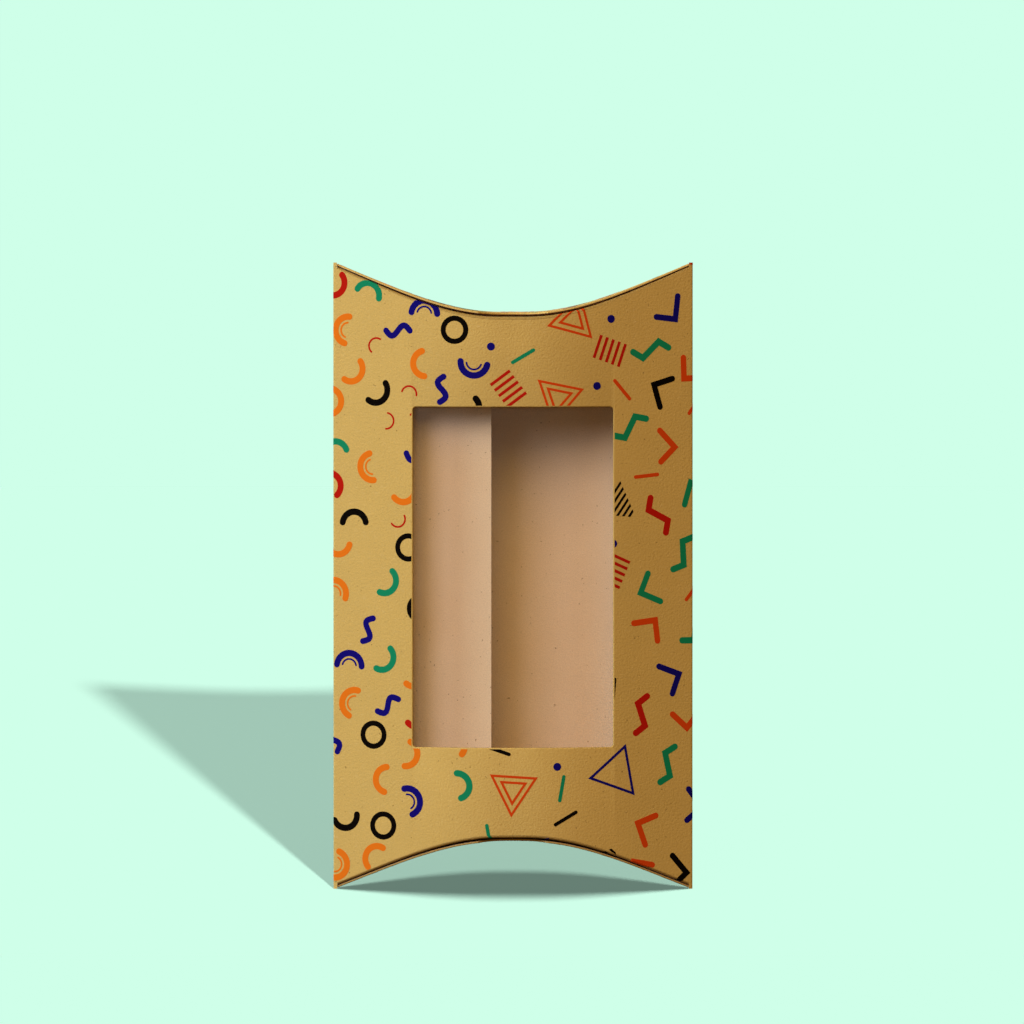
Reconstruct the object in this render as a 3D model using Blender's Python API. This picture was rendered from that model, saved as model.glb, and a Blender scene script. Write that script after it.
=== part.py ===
"""A kraft pillow box with a window in its front, standing on the two lower tips of its side folds.

The box is one folded blank of board: two curved panels joined at two side folds, a wide glue flap
that starts in the seam at the left fold and stands free inside, and at each end an inner flap under
an outer flap, both on curved creases. A clear film is glued behind the window.

Metres, +Z up. X runs across the box, Y through it with the front at -Y, and the origin is on the
surface that the box stands on, under its middle. Each end is the other's mirror image in height.
"""

import math

import bmesh
import bpy

# The closed box
BOX_WIDTH = 0.090  # across the two side folds
BOX_HEIGHT = 0.157  # from the lower tips of the folds to the upper ones
BOX_DEPTH = 0.026  # between the crowns of the front and the back panel
CROWN_FLAT = 0.006  # flat strip along each crown, which a box lying down rests on
PARABOLA_SHARE = 0.7  # share of the swell that is a parabola, the rest being a bell with flatter flanks
PANEL_FACETS = 24  # facets from the crown's flat strip to a side fold

# The board, and the room that each piece leaves its neighbour
BOARD = 0.00045
PIECE_GAP = 0.0003

# The side folds
FOLD_RADIUS = 0.0006  # outside of the fold
FOLD_LEAF = 0.0005  # flank that each fold carries on both sides, before the panels begin
FOLD_FACETS = 12

# The window, and the film glued behind it
WINDOW_WIDTH = 0.050
WINDOW_HEIGHT = 0.085
WINDOW_CORNER_RADIUS = 0.0008
WINDOW_CORNER_FACETS = 5
FILM = 0.00018
FILM_LAP = 0.006  # how far the film reaches past the window's edge
FILM_GLUE_INSET = 0.0015  # from the window's edge to the glue
FILM_GLUE_MARGIN = 0.001  # from the glue to the film's edge
GLUE = 0.0001

# The glue flap: its root lies in the seam against the back panel, and past a crease it stands free
GLUE_FLAP_SETBACK = 0.0014  # from the panels' left edge to the flap, where there is room between them
SEAM_WIDTH = 0.0065
GLUE_FLAP_SPAN = 0.0305  # from the crease to the free edge that shows through the window
GLUE_FLAP_FORWARD = 0.003  # how far in front of the box's middle the free edge stands
GLUE_FLAP_END = 0.003  # how far the flap stays short of the closed end flaps
SEAM_GLUE_MARGIN = 0.001  # from the glue to the seam's long edges
SEAM_GLUE_END = 0.008  # how far the glue stays short of the flap's ends

# The end flaps
FLAP_TRIM = 0.0002  # how far a flap stays short of the panels' side edges
SLIT_AT_CROWN = 0.0006  # opening between the two flaps of an end at the middle of the box
OUTER_FLAP_INSET = 0.0004  # from the front panel's face to the outer flap's free edge
INNER_FLAP_PAST_MIDDLE = 0.001  # how far the inner flap reaches beyond the middle of the box
NOTCH_RADIUS = 0.011
NOTCH_DEPTH = 0.005
NOTCH_FACETS = 96

OVERRUN = 0.004  # how far a cutter runs past what it cuts
SMOOTH_ANGLE = math.radians(30)

# Worked out from the sizes above
FLANK_ANGLE = math.atan(PARABOLA_SHARE * BOX_DEPTH / (BOX_WIDTH / 2 - CROWN_FLAT / 2))
FOLD_CENTRE = BOX_WIDTH / 2 - FOLD_RADIUS
FLANK_END = FOLD_CENTRE + FOLD_RADIUS * math.sin(FLANK_ANGLE)
FLANK_RUN = FLANK_END - CROWN_FLAT / 2
FOLD_HALF_DEPTH = FOLD_RADIUS * math.cos(FLANK_ANGLE)
SWELL = BOX_DEPTH / 2 - FOLD_HALF_DEPTH
FOLD_INSIDE = FLANK_END - FOLD_LEAF
PANEL_REACH = FOLD_INSIDE - PIECE_GAP
FLAP_REACH = PANEL_REACH - FLAP_TRIM
MITRE_SETBACK = PIECE_GAP / math.sqrt(2)
GLUE_FLAP_START = GLUE_FLAP_SETBACK - PANEL_REACH
GLUE_FLAP_CREASE = GLUE_FLAP_START + SEAM_WIDTH
GLUE_FLAP_EDGE = GLUE_FLAP_CREASE + GLUE_FLAP_SPAN
FILM_REACH = WINDOW_WIDTH / 2 + FILM_LAP
FILM_HALF_HEIGHT = WINDOW_HEIGHT / 2 + FILM_LAP

# Colours as red, green and blue light, and how rough each surface is
PRINTED_KRAFT = (0.597, 0.397, 0.124)
INNER_KRAFT = (0.45, 0.29, 0.19)
CLEAR_FILM = (0.9, 0.92, 0.93)
DRIED_GLUE = (0.8, 0.76, 0.66)
BOARD_ROUGHNESS = 0.85
FILM_ROUGHNESS = 0.08
GLUE_ROUGHNESS = 0.4


def flank_share(x):
    """How far x lies from the crown's flat strip, 0, towards the side fold, 1."""
    return min(1, max(0, (abs(x) - CROWN_FLAT / 2) / FLANK_RUN))


def swell(x):
    """How far a panel's outer face stands out at x beyond its place at the side fold."""
    share = flank_share(x)
    parabola = 1 - share**2
    bell = math.cos(math.pi / 2 * share) ** 2
    return SWELL * (PARABOLA_SHARE * parabola + (1 - PARABOLA_SHARE) * bell)


def slant(x):
    """How much longer a sheet's thickness is along Y or Z than square to the sheet, at x."""
    share = flank_share(x)
    parabola = 2 * share
    bell = math.pi / 2 * math.sin(math.pi * share)
    slope = SWELL / FLANK_RUN * (PARABOLA_SHARE * parabola + (1 - PARABOLA_SHARE) * bell)
    return math.hypot(1, slope)


def outer_face(x):
    """Distance of a panel's outer face from the middle of the box."""
    return FOLD_HALF_DEPTH + swell(x)


def inner_face(x):
    """Distance of a panel's inner face from the middle of the box."""
    return outer_face(x) - BOARD * slant(x)


def back_crease(x):
    """Height of the back panel's upper crease, which is also the closed outer flap's outside."""
    return BOX_HEIGHT - swell(x)


def flap_slit(x):
    """Opening between the outer and the inner flap."""
    return PIECE_GAP + (SLIT_AT_CROWN - PIECE_GAP) * swell(x) / SWELL


def front_crease(x):
    """Height of the front panel's upper crease, under the outer flap by the opening between them."""
    return back_crease(x) - BOARD * slant(x) - flap_slit(x)


def facet_lines(low, high):
    """The places across the box where a sheet from low to high has a line between two facets."""
    step = (PANEL_REACH - CROWN_FLAT / 2) / PANEL_FACETS
    right = [CROWN_FLAT / 2 + step * index for index in range(PANEL_FACETS + 1)]
    lines = [-x for x in reversed(right)] + right
    inside = [x for x in lines if low + step / 2 < x < high - step / 2]
    return [low, *inside, high]


def finish(name, mesh, origin, material):
    """Link a mesh that is modelled in place as an object whose origin is at the point given."""
    x, y, z = origin
    for vertex in mesh.vertices:
        vertex.co.x -= x
        vertex.co.y -= y
        vertex.co.z -= z
    mesh.shade_smooth()
    mesh.set_sharp_from_angle(angle=SMOOTH_ANGLE)
    mesh.materials.append(material)
    piece = bpy.data.objects.new(name, mesh)
    piece.location = origin
    bpy.context.scene.collection.objects.link(piece)
    return piece


def loft(lines, section):
    """One closed body that runs through a section of points (y, z) at each line across the box."""
    form = bmesh.new()
    rings = []
    for x in lines:
        rings.append([form.verts.new((x, y, z)) for y, z in section(x)])
    for ring, following in zip(rings, rings[1:]):
        for index, corner in enumerate(ring):
            beside = (index + 1) % len(ring)
            form.faces.new((corner, ring[beside], following[beside], following[index]))
    form.faces.new(rings[0])
    form.faces.new(rings[-1])
    return form


def to_mesh(name, form):
    """Turn the faces of a form outwards and store it as a mesh."""
    bmesh.ops.recalc_face_normals(form, faces=form.faces)
    mesh = bpy.data.meshes.new(name)
    form.to_mesh(mesh)
    form.free()
    return mesh


def sheet(name, lines, section, material, origin=(0, 0, 0)):
    """Make a sheet that runs through a section at each line across the box."""
    return finish(name, to_mesh(name, loft(lines, section)), origin, material)


def in_height(section, top):
    """The section as it is for the top of the box, and mirrored in height for its bottom."""
    if top:
        return section
    return lambda x: [(y, BOX_HEIGHT - z) for y, z in section(x)]


def plain_material(name, colour, roughness, alpha=1):
    """A smooth, even material."""
    material = bpy.data.materials.new(name)
    material.use_nodes = True
    shader = material.node_tree.nodes["Principled BSDF"]
    shader.inputs["Base Color"].default_value = (*colour, 1)
    shader.inputs["Roughness"].default_value = roughness
    shader.inputs["Metallic"].default_value = 0
    shader.inputs["Alpha"].default_value = alpha
    return material


def subtract(piece, cutter):
    """Cut a hidden shape out of a piece."""
    cutter.hide_render = True
    cutter.display_type = "WIRE"
    cut = piece.modifiers.new(cutter.name, "BOOLEAN")
    cut.operation = "DIFFERENCE"
    cut.solver = "EXACT"
    cut.object = cutter


def window_cutter(name, margin):
    """A block with rounded edges that cuts the window, widened all round by the margin, out of the front."""
    width = WINDOW_WIDTH + 2 * margin
    height = WINDOW_HEIGHT + 2 * margin
    depth = BOX_DEPTH / 2 + OVERRUN
    form = bmesh.new()
    bmesh.ops.create_cube(form, size=1)
    bmesh.ops.scale(form, vec=(width, depth, height), verts=form.verts)
    bmesh.ops.translate(form, vec=(0, -depth / 2, BOX_HEIGHT / 2), verts=form.verts)
    through = [edge for edge in form.edges if abs(edge.verts[0].co.y - edge.verts[1].co.y) > depth / 2]
    bmesh.ops.bevel(
        form,
        geom=through,
        offset=WINDOW_CORNER_RADIUS + margin,
        segments=WINDOW_CORNER_FACETS,
        profile=0.5,
        affect="EDGES",
    )
    cutter = bpy.data.objects.new(name, to_mesh(name, form))
    bpy.context.scene.collection.objects.link(cutter)
    return cutter


def notch_cutter(name, top):
    """A drum that cuts the thumb notch out of the outer flap's free edge."""
    level = back_crease(0) if top else BOX_HEIGHT - back_crease(0)
    form = bmesh.new()
    bmesh.ops.create_cone(
        form,
        cap_ends=True,
        segments=NOTCH_FACETS,
        radius1=NOTCH_RADIUS,
        radius2=NOTCH_RADIUS,
        depth=2 * (OVERRUN + BOARD),
    )
    cutter = bpy.data.objects.new(name, to_mesh(name, form))
    cutter.location = (0, NOTCH_DEPTH - NOTCH_RADIUS - BOX_DEPTH / 2, level)
    bpy.context.scene.collection.objects.link(cutter)
    return cutter


def panel(name, side, crease):
    """A panel with a curved crease at each end, on the side of the box that the sign gives."""

    def section(x):
        thickness = BOARD * slant(x)
        outer_end = crease(x) - MITRE_SETBACK
        inner_end = outer_end - thickness
        return [
            (side * outer_face(x), BOX_HEIGHT - outer_end),
            (side * outer_face(x), outer_end),
            (side * inner_face(x), inner_end),
            (side * inner_face(x), BOX_HEIGHT - inner_end),
        ]

    material = plain_material(name, PRINTED_KRAFT, BOARD_ROUGHNESS)
    return sheet(name, facet_lines(-PANEL_REACH, PANEL_REACH), section, material)


def side_fold(name, side):
    """The board turned round one long edge of the box, with a short leaf of each panel."""
    turn = math.pi / 2 - FLANK_ANGLE
    angles = [turn * (2 * index / FOLD_FACETS - 1) for index in range(FOLD_FACETS + 1)]
    outside = [(FOLD_INSIDE, -outer_face(FOLD_INSIDE))]
    inside = [(FOLD_INSIDE, -inner_face(FOLD_INSIDE))]
    for angle in angles:
        across, through = math.cos(angle), math.sin(angle)
        outside.append((FOLD_CENTRE + FOLD_RADIUS * across, FOLD_RADIUS * through))
        inner_radius = FOLD_RADIUS - BOARD
        inside.append((FOLD_CENTRE + inner_radius * across, inner_radius * through))
    outside.append((FOLD_INSIDE, outer_face(FOLD_INSIDE)))
    inside.append((FOLD_INSIDE, inner_face(FOLD_INSIDE)))
    outline = outside + inside[::-1]
    form = bmesh.new()
    lower = form.faces.new([form.verts.new((side * x, y, 0)) for x, y in outline])
    raised = bmesh.ops.extrude_face_region(form, geom=[lower], use_keep_orig=True)
    corners = [part for part in raised["geom"] if isinstance(part, bmesh.types.BMVert)]
    bmesh.ops.translate(form, vec=(0, 0, BOX_HEIGHT), verts=corners)
    material = plain_material(name, PRINTED_KRAFT, BOARD_ROUGHNESS)
    return finish(name, to_mesh(name, form), (0, 0, 0), material)


def glue_flap_back(x):
    """Place of the glue flap's back face, behind the middle of the box: in the seam, or standing free."""
    seat = inner_face(min(x, GLUE_FLAP_CREASE)) - PIECE_GAP
    share = max(0, x - GLUE_FLAP_CREASE) / GLUE_FLAP_SPAN
    return seat - share * (seat + GLUE_FLAP_FORWARD)


def glue_flap_slant(x):
    """How much longer the glue flap's thickness is along Y than square to it, at x."""
    if x <= GLUE_FLAP_CREASE:
        return slant(x)
    return math.hypot(1, (glue_flap_back(GLUE_FLAP_CREASE) + GLUE_FLAP_FORWARD) / GLUE_FLAP_SPAN)


def glue_flap_top(x):
    """Height of the glue flap's upper end, which follows the closed end flaps."""
    return front_crease(x) - BOARD * slant(x) - GLUE_FLAP_END


def glue_flap():
    """The wide strip that the side seam is glued on, whose free edge shows through the window."""

    def section(x):
        back = glue_flap_back(x)
        front = back - BOARD * glue_flap_slant(x)
        top = glue_flap_top(x)
        return [(back, BOX_HEIGHT - top), (back, top), (front, top), (front, BOX_HEIGHT - top)]

    lines = facet_lines(GLUE_FLAP_START, GLUE_FLAP_CREASE)
    lines += facet_lines(GLUE_FLAP_CREASE, GLUE_FLAP_EDGE)[1:]
    return sheet("glue_flap", lines, section, plain_material("glue_flap", INNER_KRAFT, BOARD_ROUGHNESS))


def seam_glue():
    """The bead of glue that holds the root of the glue flap to the back panel."""

    def section(x):
        middle = inner_face(x) - PIECE_GAP / 2
        back = middle + GLUE * slant(x) / 2
        front = middle - GLUE * slant(x) / 2
        top = glue_flap_top(x) - SEAM_GLUE_END
        return [(back, BOX_HEIGHT - top), (back, top), (front, top), (front, BOX_HEIGHT - top)]

    lines = facet_lines(GLUE_FLAP_START + SEAM_GLUE_MARGIN, GLUE_FLAP_CREASE - SEAM_GLUE_MARGIN)
    return sheet("seam_glue", lines, section, plain_material("seam_glue", DRIED_GLUE, GLUE_ROUGHNESS))


def window_sheet(name, reach, half_height, setback, thickness, material):
    """A thin sheet that follows the inside of the front panel, further in by the setback."""

    def section(x):
        outer = setback - inner_face(x)
        inner = outer + thickness * slant(x)
        low, high = BOX_HEIGHT / 2 - half_height, BOX_HEIGHT / 2 + half_height
        return [(outer, low), (outer, high), (inner, high), (inner, low)]

    return sheet(name, facet_lines(-reach, reach), section, material)


def window_film():
    """The clear film behind the window."""
    material = plain_material("window_film", CLEAR_FILM, FILM_ROUGHNESS, alpha=0.2)
    return window_sheet("window_film", FILM_REACH, FILM_HALF_HEIGHT, PIECE_GAP, FILM, material)


def film_glue():
    """The frame of glue that holds the film to the front panel, all round the window."""
    material = plain_material("film_glue", DRIED_GLUE, GLUE_ROUGHNESS)
    reach = FILM_REACH - FILM_GLUE_MARGIN
    half_height = FILM_HALF_HEIGHT - FILM_GLUE_MARGIN
    setback = (PIECE_GAP - GLUE) / 2
    frame = window_sheet("film_glue", reach, half_height, setback, GLUE, material)
    subtract(frame, window_cutter("film_glue_cutter", FILM_GLUE_INSET))
    return frame


def outer_flap(name, top):
    """The end flap on the back panel's crease, which covers the whole end when it is shut."""

    def section(x):
        thickness = BOARD * slant(x)
        outside = back_crease(x)
        hinge = outer_face(x) - MITRE_SETBACK
        free = OUTER_FLAP_INSET - outer_face(x)
        return [
            (hinge, outside),
            (free, outside),
            (free, outside - thickness),
            (hinge - thickness, outside - thickness),
        ]

    level = back_crease(0) if top else BOX_HEIGHT - back_crease(0)
    material = plain_material(name, PRINTED_KRAFT, BOARD_ROUGHNESS)
    origin = (0, outer_face(0), level)
    flap = sheet(name, facet_lines(-FLAP_REACH, FLAP_REACH), in_height(section, top), material, origin)
    subtract(flap, notch_cutter(name + "_notch_cutter", top))
    return flap


def inner_flap(name, top):
    """The end flap on the front panel's crease, which lies under the outer flap."""

    def section(x):
        thickness = BOARD * slant(x)
        outside = front_crease(x)
        hinge = MITRE_SETBACK - outer_face(x)
        free = min(INNER_FLAP_PAST_MIDDLE, inner_face(x) - PIECE_GAP)
        return [
            (hinge, outside),
            (free, outside),
            (free, outside - thickness),
            (hinge + thickness, outside - thickness),
        ]

    level = front_crease(0) if top else BOX_HEIGHT - front_crease(0)
    material = plain_material(name, INNER_KRAFT, BOARD_ROUGHNESS)
    origin = (0, -outer_face(0), level)
    return sheet(name, facet_lines(-FLAP_REACH, FLAP_REACH), in_height(section, top), material, origin)


def clear_scene():
    """Remove the objects that the scene starts with."""
    for piece in list(bpy.data.objects):
        bpy.data.objects.remove(piece)


def main():
    """Model the whole box."""
    clear_scene()
    front = panel("front_panel", -1, front_crease)
    subtract(front, window_cutter("window_cutter", 0))
    panel("back_panel", 1, back_crease)
    side_fold("left_fold", -1)
    side_fold("right_fold", 1)
    glue_flap()
    seam_glue()
    window_film()
    film_glue()
    outer_flap("top_outer_flap", True)
    inner_flap("top_inner_flap", True)
    outer_flap("bottom_outer_flap", False)
    inner_flap("bottom_inner_flap", False)


main()
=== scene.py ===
"""The looks of a kraft pillow box with a window in its front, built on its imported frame.

The board is one spiral sheet: back panel, right fold, front panel, left fold and glue flap. Four end
flaps with rounded creases join it, a confetti print lies on its outside, and a clear film closes the
window. Metres, +Z up, the front faces -Y, and the origin lies under the box's middle.
"""

from __future__ import annotations

import logging
import math
import random
from bisect import bisect_right
from dataclasses import dataclass, field
from enum import Enum
from itertools import pairwise, product
from typing import Sequence

import bmesh
import bpy
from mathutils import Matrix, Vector


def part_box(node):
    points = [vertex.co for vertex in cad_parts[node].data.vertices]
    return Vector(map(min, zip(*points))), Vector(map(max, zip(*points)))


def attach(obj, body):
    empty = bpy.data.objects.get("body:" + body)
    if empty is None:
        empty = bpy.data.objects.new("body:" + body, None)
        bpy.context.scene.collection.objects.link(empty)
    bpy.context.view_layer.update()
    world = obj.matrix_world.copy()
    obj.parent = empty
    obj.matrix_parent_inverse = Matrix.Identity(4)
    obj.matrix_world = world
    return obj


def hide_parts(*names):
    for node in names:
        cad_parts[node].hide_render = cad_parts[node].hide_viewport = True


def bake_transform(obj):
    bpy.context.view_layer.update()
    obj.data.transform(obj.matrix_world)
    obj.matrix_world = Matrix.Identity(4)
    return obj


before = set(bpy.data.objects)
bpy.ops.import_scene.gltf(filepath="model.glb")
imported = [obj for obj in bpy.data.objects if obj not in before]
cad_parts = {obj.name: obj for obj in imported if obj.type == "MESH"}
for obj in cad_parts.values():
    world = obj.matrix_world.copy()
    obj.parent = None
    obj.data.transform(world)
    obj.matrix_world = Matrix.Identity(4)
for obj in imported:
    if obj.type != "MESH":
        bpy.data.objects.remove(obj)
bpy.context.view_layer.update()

LOG = logging.getLogger("pillow_box")
MM = 0.001
BLANK_MAP = "blank"  # the UV map that lays the board out flat, in millimetres
CREASE_MAP = "creases"  # the UV map of the distances from the lower and the upper crease, in millimetres
FAR = 99.0  # a distance in the crease map at which a crease has no effect
SMOOTH_ANGLE = math.radians(30)
BLEND = {"data_type": "RGBA"}  # a Mix node for colours
MULTIPLY = BLEND | {"blend_type": "MULTIPLY"}
SCALE_AND_ADD = {"operation": "MULTIPLY_ADD"}

Colour = tuple[float, float, float, float]
Pair = tuple[float, float]
Triple = tuple[float, float, float]
Socket = bpy.types.NodeSocket
Tree = bpy.types.NodeTree
Material = bpy.types.Material
Mesh = bpy.types.Mesh
Object = bpy.types.Object
Solid = bmesh.types.BMesh
Layer = bmesh.types.BMLayerItem


def linear(hex_colour: str) -> Colour:
    """Turn an sRGB hex value into linear light.

    Args:
        hex_colour: six hex digits after a hash sign.

    Returns:
        Red, green, blue and alpha, with alpha 1.
    """
    shares = [int(hex_colour[at : at + 2], 16) / 255 for at in (1, 3, 5)]
    light = [c / 12.92 if c <= 0.04045 else ((c + 0.055) / 1.055) ** 2.4 for c in shares]
    return (light[0], light[1], light[2], 1.0)


def add(tree: Tree, kind: str, settings: dict | None = None, links: dict | None = None) -> bpy.types.Node:
    """Add a node to a tree with its settings and links.

    Args:
        tree: the node tree.
        kind: Blender's name for the node type.
        settings: values for the node's properties, and after them for its inputs by name or number.
        links: sockets that feed the node's inputs, by the input's name or number.

    Returns:
        The new node.
    """
    node = tree.nodes.new(kind)
    for name, value in (settings or {}).items():
        if isinstance(name, str) and hasattr(node, name):
            setattr(node, name, value)
        else:
            node.inputs[name].default_value = value
    for name, socket in (links or {}).items():
        tree.links.new(socket, node.inputs[name])
    return node


def new_material(name: str) -> Material:
    """Make a material with an empty node tree.

    Args:
        name: the material's name.

    Returns:
        The material.
    """
    made = bpy.data.materials.new(name)
    made.use_nodes = True
    made.node_tree.nodes.clear()
    return made


def put_in_scene(name: str, data: bpy.types.ID) -> Object:
    """Make an object and put it in the scene.

    Args:
        name: the object's name.
        data: its mesh, light or camera.

    Returns:
        The object.
    """
    made = bpy.data.objects.new(name, data)
    bpy.context.scene.collection.objects.link(made)
    return made


def finished(form: Solid, name: str) -> Mesh:
    """Turn a mesh that is being built into a finished one.

    Args:
        form: the mesh so far, which is freed.
        name: the new mesh's name.

    Returns:
        The mesh.
    """
    mesh = bpy.data.meshes.new(name)
    form.to_mesh(mesh)
    form.free()
    return mesh


def shade(mesh: Mesh) -> None:
    """Shade a mesh smooth, with its corners sharp."""
    mesh.shade_smooth()
    mesh.set_sharp_from_angle(angle=SMOOTH_ANGLE)


def dressed(mesh: Mesh, materials: Sequence[Material]) -> Object:
    """Make a piece of a mesh, with the mesh's name.

    Args:
        mesh: the mesh, in place.
        materials: one material for each of its slots.

    Returns:
        The piece.
    """
    for material in materials:
        mesh.materials.append(material)
    return put_in_scene(mesh.name, mesh)


def cut_away(piece: Object, cutter: Object) -> None:
    """Cut a shape out of a piece for good.

    Args:
        piece: what is cut.
        cutter: the shape, which is removed.
    """
    modifier = piece.modifiers.new("cut", "BOOLEAN")
    modifier.operation = "DIFFERENCE"
    modifier.solver = "EXACT"
    modifier.object = cutter
    graph = bpy.context.evaluated_depsgraph_get()
    mesh = bpy.data.meshes.new_from_object(piece.evaluated_get(graph))
    piece.modifiers.clear()
    old = piece.data
    piece.data = mesh
    bpy.data.meshes.remove(old)
    bpy.data.objects.remove(cutter)


def block_cutter(size: Vector, centre: Vector, radius: float) -> Object:
    """Make a block whose edges along Y are rounded.

    Args:
        size: the block's size.
        centre: its middle.
        radius: of the rounded edges.

    Returns:
        The cutter.
    """
    form = bmesh.new()
    bmesh.ops.create_cube(form, size=1)
    bmesh.ops.scale(form, vec=size, verts=form.verts)
    bmesh.ops.translate(form, vec=centre, verts=form.verts)
    through = [edge for edge in form.edges if abs(edge.verts[0].co.y - edge.verts[1].co.y) > size.y / 2]
    bmesh.ops.bevel(form, geom=through, offset=radius, segments=8, profile=0.5, affect="EDGES")
    bmesh.ops.recalc_face_normals(form, faces=form.faces)
    return put_in_scene("block_cutter", finished(form, "block_cutter"))


def thicken(piece: Object, low: float, high: float) -> bpy.types.Modifier:
    """Fill a sheet between two heights over it, so that it keeps its thickness when it bends.

    Args:
        piece: the sheet.
        low: height over it at which the body begins.
        high: height at which it ends.

    Returns:
        The modifier that does it.
    """
    modifier = piece.modifiers.new("thickness", "SOLIDIFY")
    modifier.thickness = high - low
    modifier.offset = (high + low) / (high - low)
    modifier.use_even_offset = True
    return modifier


@dataclass(frozen=True)
class BoxForm:
    """The closed box's form. Its overall sizes are read from the frame.

    Attributes:
        width: across the two side folds.
        height: from the lower tips of the folds to the upper ones.
        depth: between the crowns of the two panels.
    """

    width: float
    height: float
    depth: float
    crown_flat: float = 6 * MM
    parabola_share: float = 0.7
    board: float = 0.45 * MM
    gap: float = 0.3 * MM
    fold_radius: float = 0.6 * MM
    nib: float = 0.9 * MM  # width of the upright tips that the folds leave at the corners
    nib_slit: float = 0.06 * MM  # between a tip and the flap beside it
    slit_at_crown: float = 0.6 * MM
    outer_flap_inset: float = 0.4 * MM
    inner_flap_past_middle: float = 1 * MM
    crease_radius: float = 0.6 * MM  # outside of the rounded creases at the ends
    glue_flap_start: float = 2.56 * MM  # from the left edge of the box to the seam
    seam_width: float = 6.5 * MM
    glue_flap_span: float = 30.5 * MM
    glue_flap_forward: float = 3 * MM
    glue_flap_end: float = 3 * MM
    window_width: float = 50 * MM
    window_height: float = 85 * MM
    shoulder: float = 0.38 * MM  # how far in from a cut the rule pressed the outside down
    notch_radius: float = 11 * MM
    notch_depth: float = 5 * MM

    @classmethod
    def from_frame(cls) -> BoxForm:
        """Read the overall sizes from the frame's nodes.

        Returns:
            The form.
        """
        left_low, left_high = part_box("left_fold")
        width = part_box("right_fold")[1].x - left_low.x
        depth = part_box("back_panel")[1].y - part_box("front_panel")[0].y
        return cls(width, left_high.z - left_low.z, depth)

    @property
    def flank_angle(self) -> float:
        """Angle of the panels' flanks at the side folds."""
        return math.atan(self.parabola_share * self.depth / (self.width / 2 - self.crown_flat / 2))

    @property
    def fold_centre(self) -> float:
        """Distance of a side fold's centre from the middle of the box."""
        return self.width / 2 - self.fold_radius

    @property
    def flank_end(self) -> float:
        """Distance from the middle of the box at which a flank runs into its fold."""
        return self.fold_centre + self.fold_radius * math.sin(self.flank_angle)

    @property
    def full_swell(self) -> float:
        """How far a crown stands out beyond the folds."""
        return self.depth / 2 - self.fold_radius * math.cos(self.flank_angle)

    def swell(self, x: float) -> float:
        """How far a panel's outer face stands out beyond its place at the side fold.

        Args:
            x: place across the box.

        Returns:
            The distance, which is in part a parabola and in part a bell with flatter flanks.
        """
        run = self.flank_end - self.crown_flat / 2
        share = min(1.0, max(0.0, (abs(x) - self.crown_flat / 2) / run))
        bell = math.cos(math.pi / 2 * share) ** 2
        shape = self.parabola_share * (1 - share**2) + (1 - self.parabola_share) * bell
        return self.full_swell * shape

    def slope(self, x: float) -> float:
        """Rise of the panel's outer face for each metre along X, at x."""
        step = 0.01 * MM
        return (self.swell(x + step) - self.swell(x - step)) / (2 * step)

    def thickness(self, x: float) -> float:
        """The board's thickness measured along Y or Z, at x."""
        return self.board * math.hypot(1, self.slope(x))

    def outer(self, x: float) -> float:
        """Distance of a panel's outer face from the middle of the box."""
        return self.depth / 2 - self.full_swell + self.swell(x)

    def inner(self, x: float) -> float:
        """Distance of a panel's inner face from the middle of the box."""
        return self.outer(x) - self.thickness(x)

    def back_crease(self, x: float) -> float:
        """Height of the back panel's upper crease."""
        return self.height - self.swell(x)

    def front_crease(self, x: float) -> float:
        """Height of the front panel's upper crease, which lies under the outer flap."""
        slit = self.gap + (self.slit_at_crown - self.gap) * self.swell(x) / self.full_swell
        return self.back_crease(x) - self.thickness(x) - slit

    def outer_flap_edge(self, x: float) -> float:
        """How far before the middle of the box an outer flap ends.

        Args:
            x: place across the box.

        Returns:
            The distance of its free edge, or of its thumb notch where that lies behind the edge.
        """
        notch_centre = self.depth / 2 - self.notch_depth + self.notch_radius
        notch = notch_centre - math.sqrt(max(0.0, self.notch_radius**2 - x**2))
        return min(self.outer(x) - self.outer_flap_inset, notch)

    @property
    def notch_corner(self) -> float:
        """Where the thumb notch meets the free edge.

        Returns:
            The distance from the middle of the box, found by halving.
        """
        low, high, closeness = 0.0, self.notch_radius, 0.001 * MM
        while high - low > closeness:
            middle = (low + high) / 2
            if self.outer_flap_edge(middle) < self.outer(middle) - self.outer_flap_inset:
                low = middle
            else:
                high = middle
        return low

    @property
    def nib_inside(self) -> float:
        """Distance from the middle of the box at which the corner tips begin."""
        return self.width / 2 - self.nib

    @property
    def flap_reach(self) -> float:
        """Half the width of the end flaps."""
        return self.nib_inside - self.nib_slit

    @property
    def crease_arc(self) -> float:
        """Length of a rounded crease round its outside."""
        return math.pi / 2 * self.crease_radius

    @property
    def seam_start(self) -> float:
        """X at which the glue flap meets the back panel's inside."""
        return self.glue_flap_start - self.width / 2

    @property
    def seam_end(self) -> float:
        """X of the crease past which the glue flap stands free."""
        return self.seam_start + self.seam_width

    def glue_flap_top(self, x: float) -> float:
        """Height of the glue flap's upper end."""
        return self.front_crease(x) - self.thickness(x) - self.glue_flap_end


@dataclass(frozen=True)
class Station:
    """An upright line of the board, at which its section across the box has a corner.

    Attributes:
        along: distance along the board's outside from the back panel's cut edge.
        outer: X and Y of the outside.
        inner: X and Y of the inside.
        low: height at which the board begins.
        high: height at which it ends.
    """

    along: float
    outer: Vector
    inner: Vector
    low: float
    high: float


class BoardSlot(Enum):
    """Material slots of the board's pieces, in their order on the meshes."""

    OUTSIDE = 0
    INSIDE = 1
    CUT = 2


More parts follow.
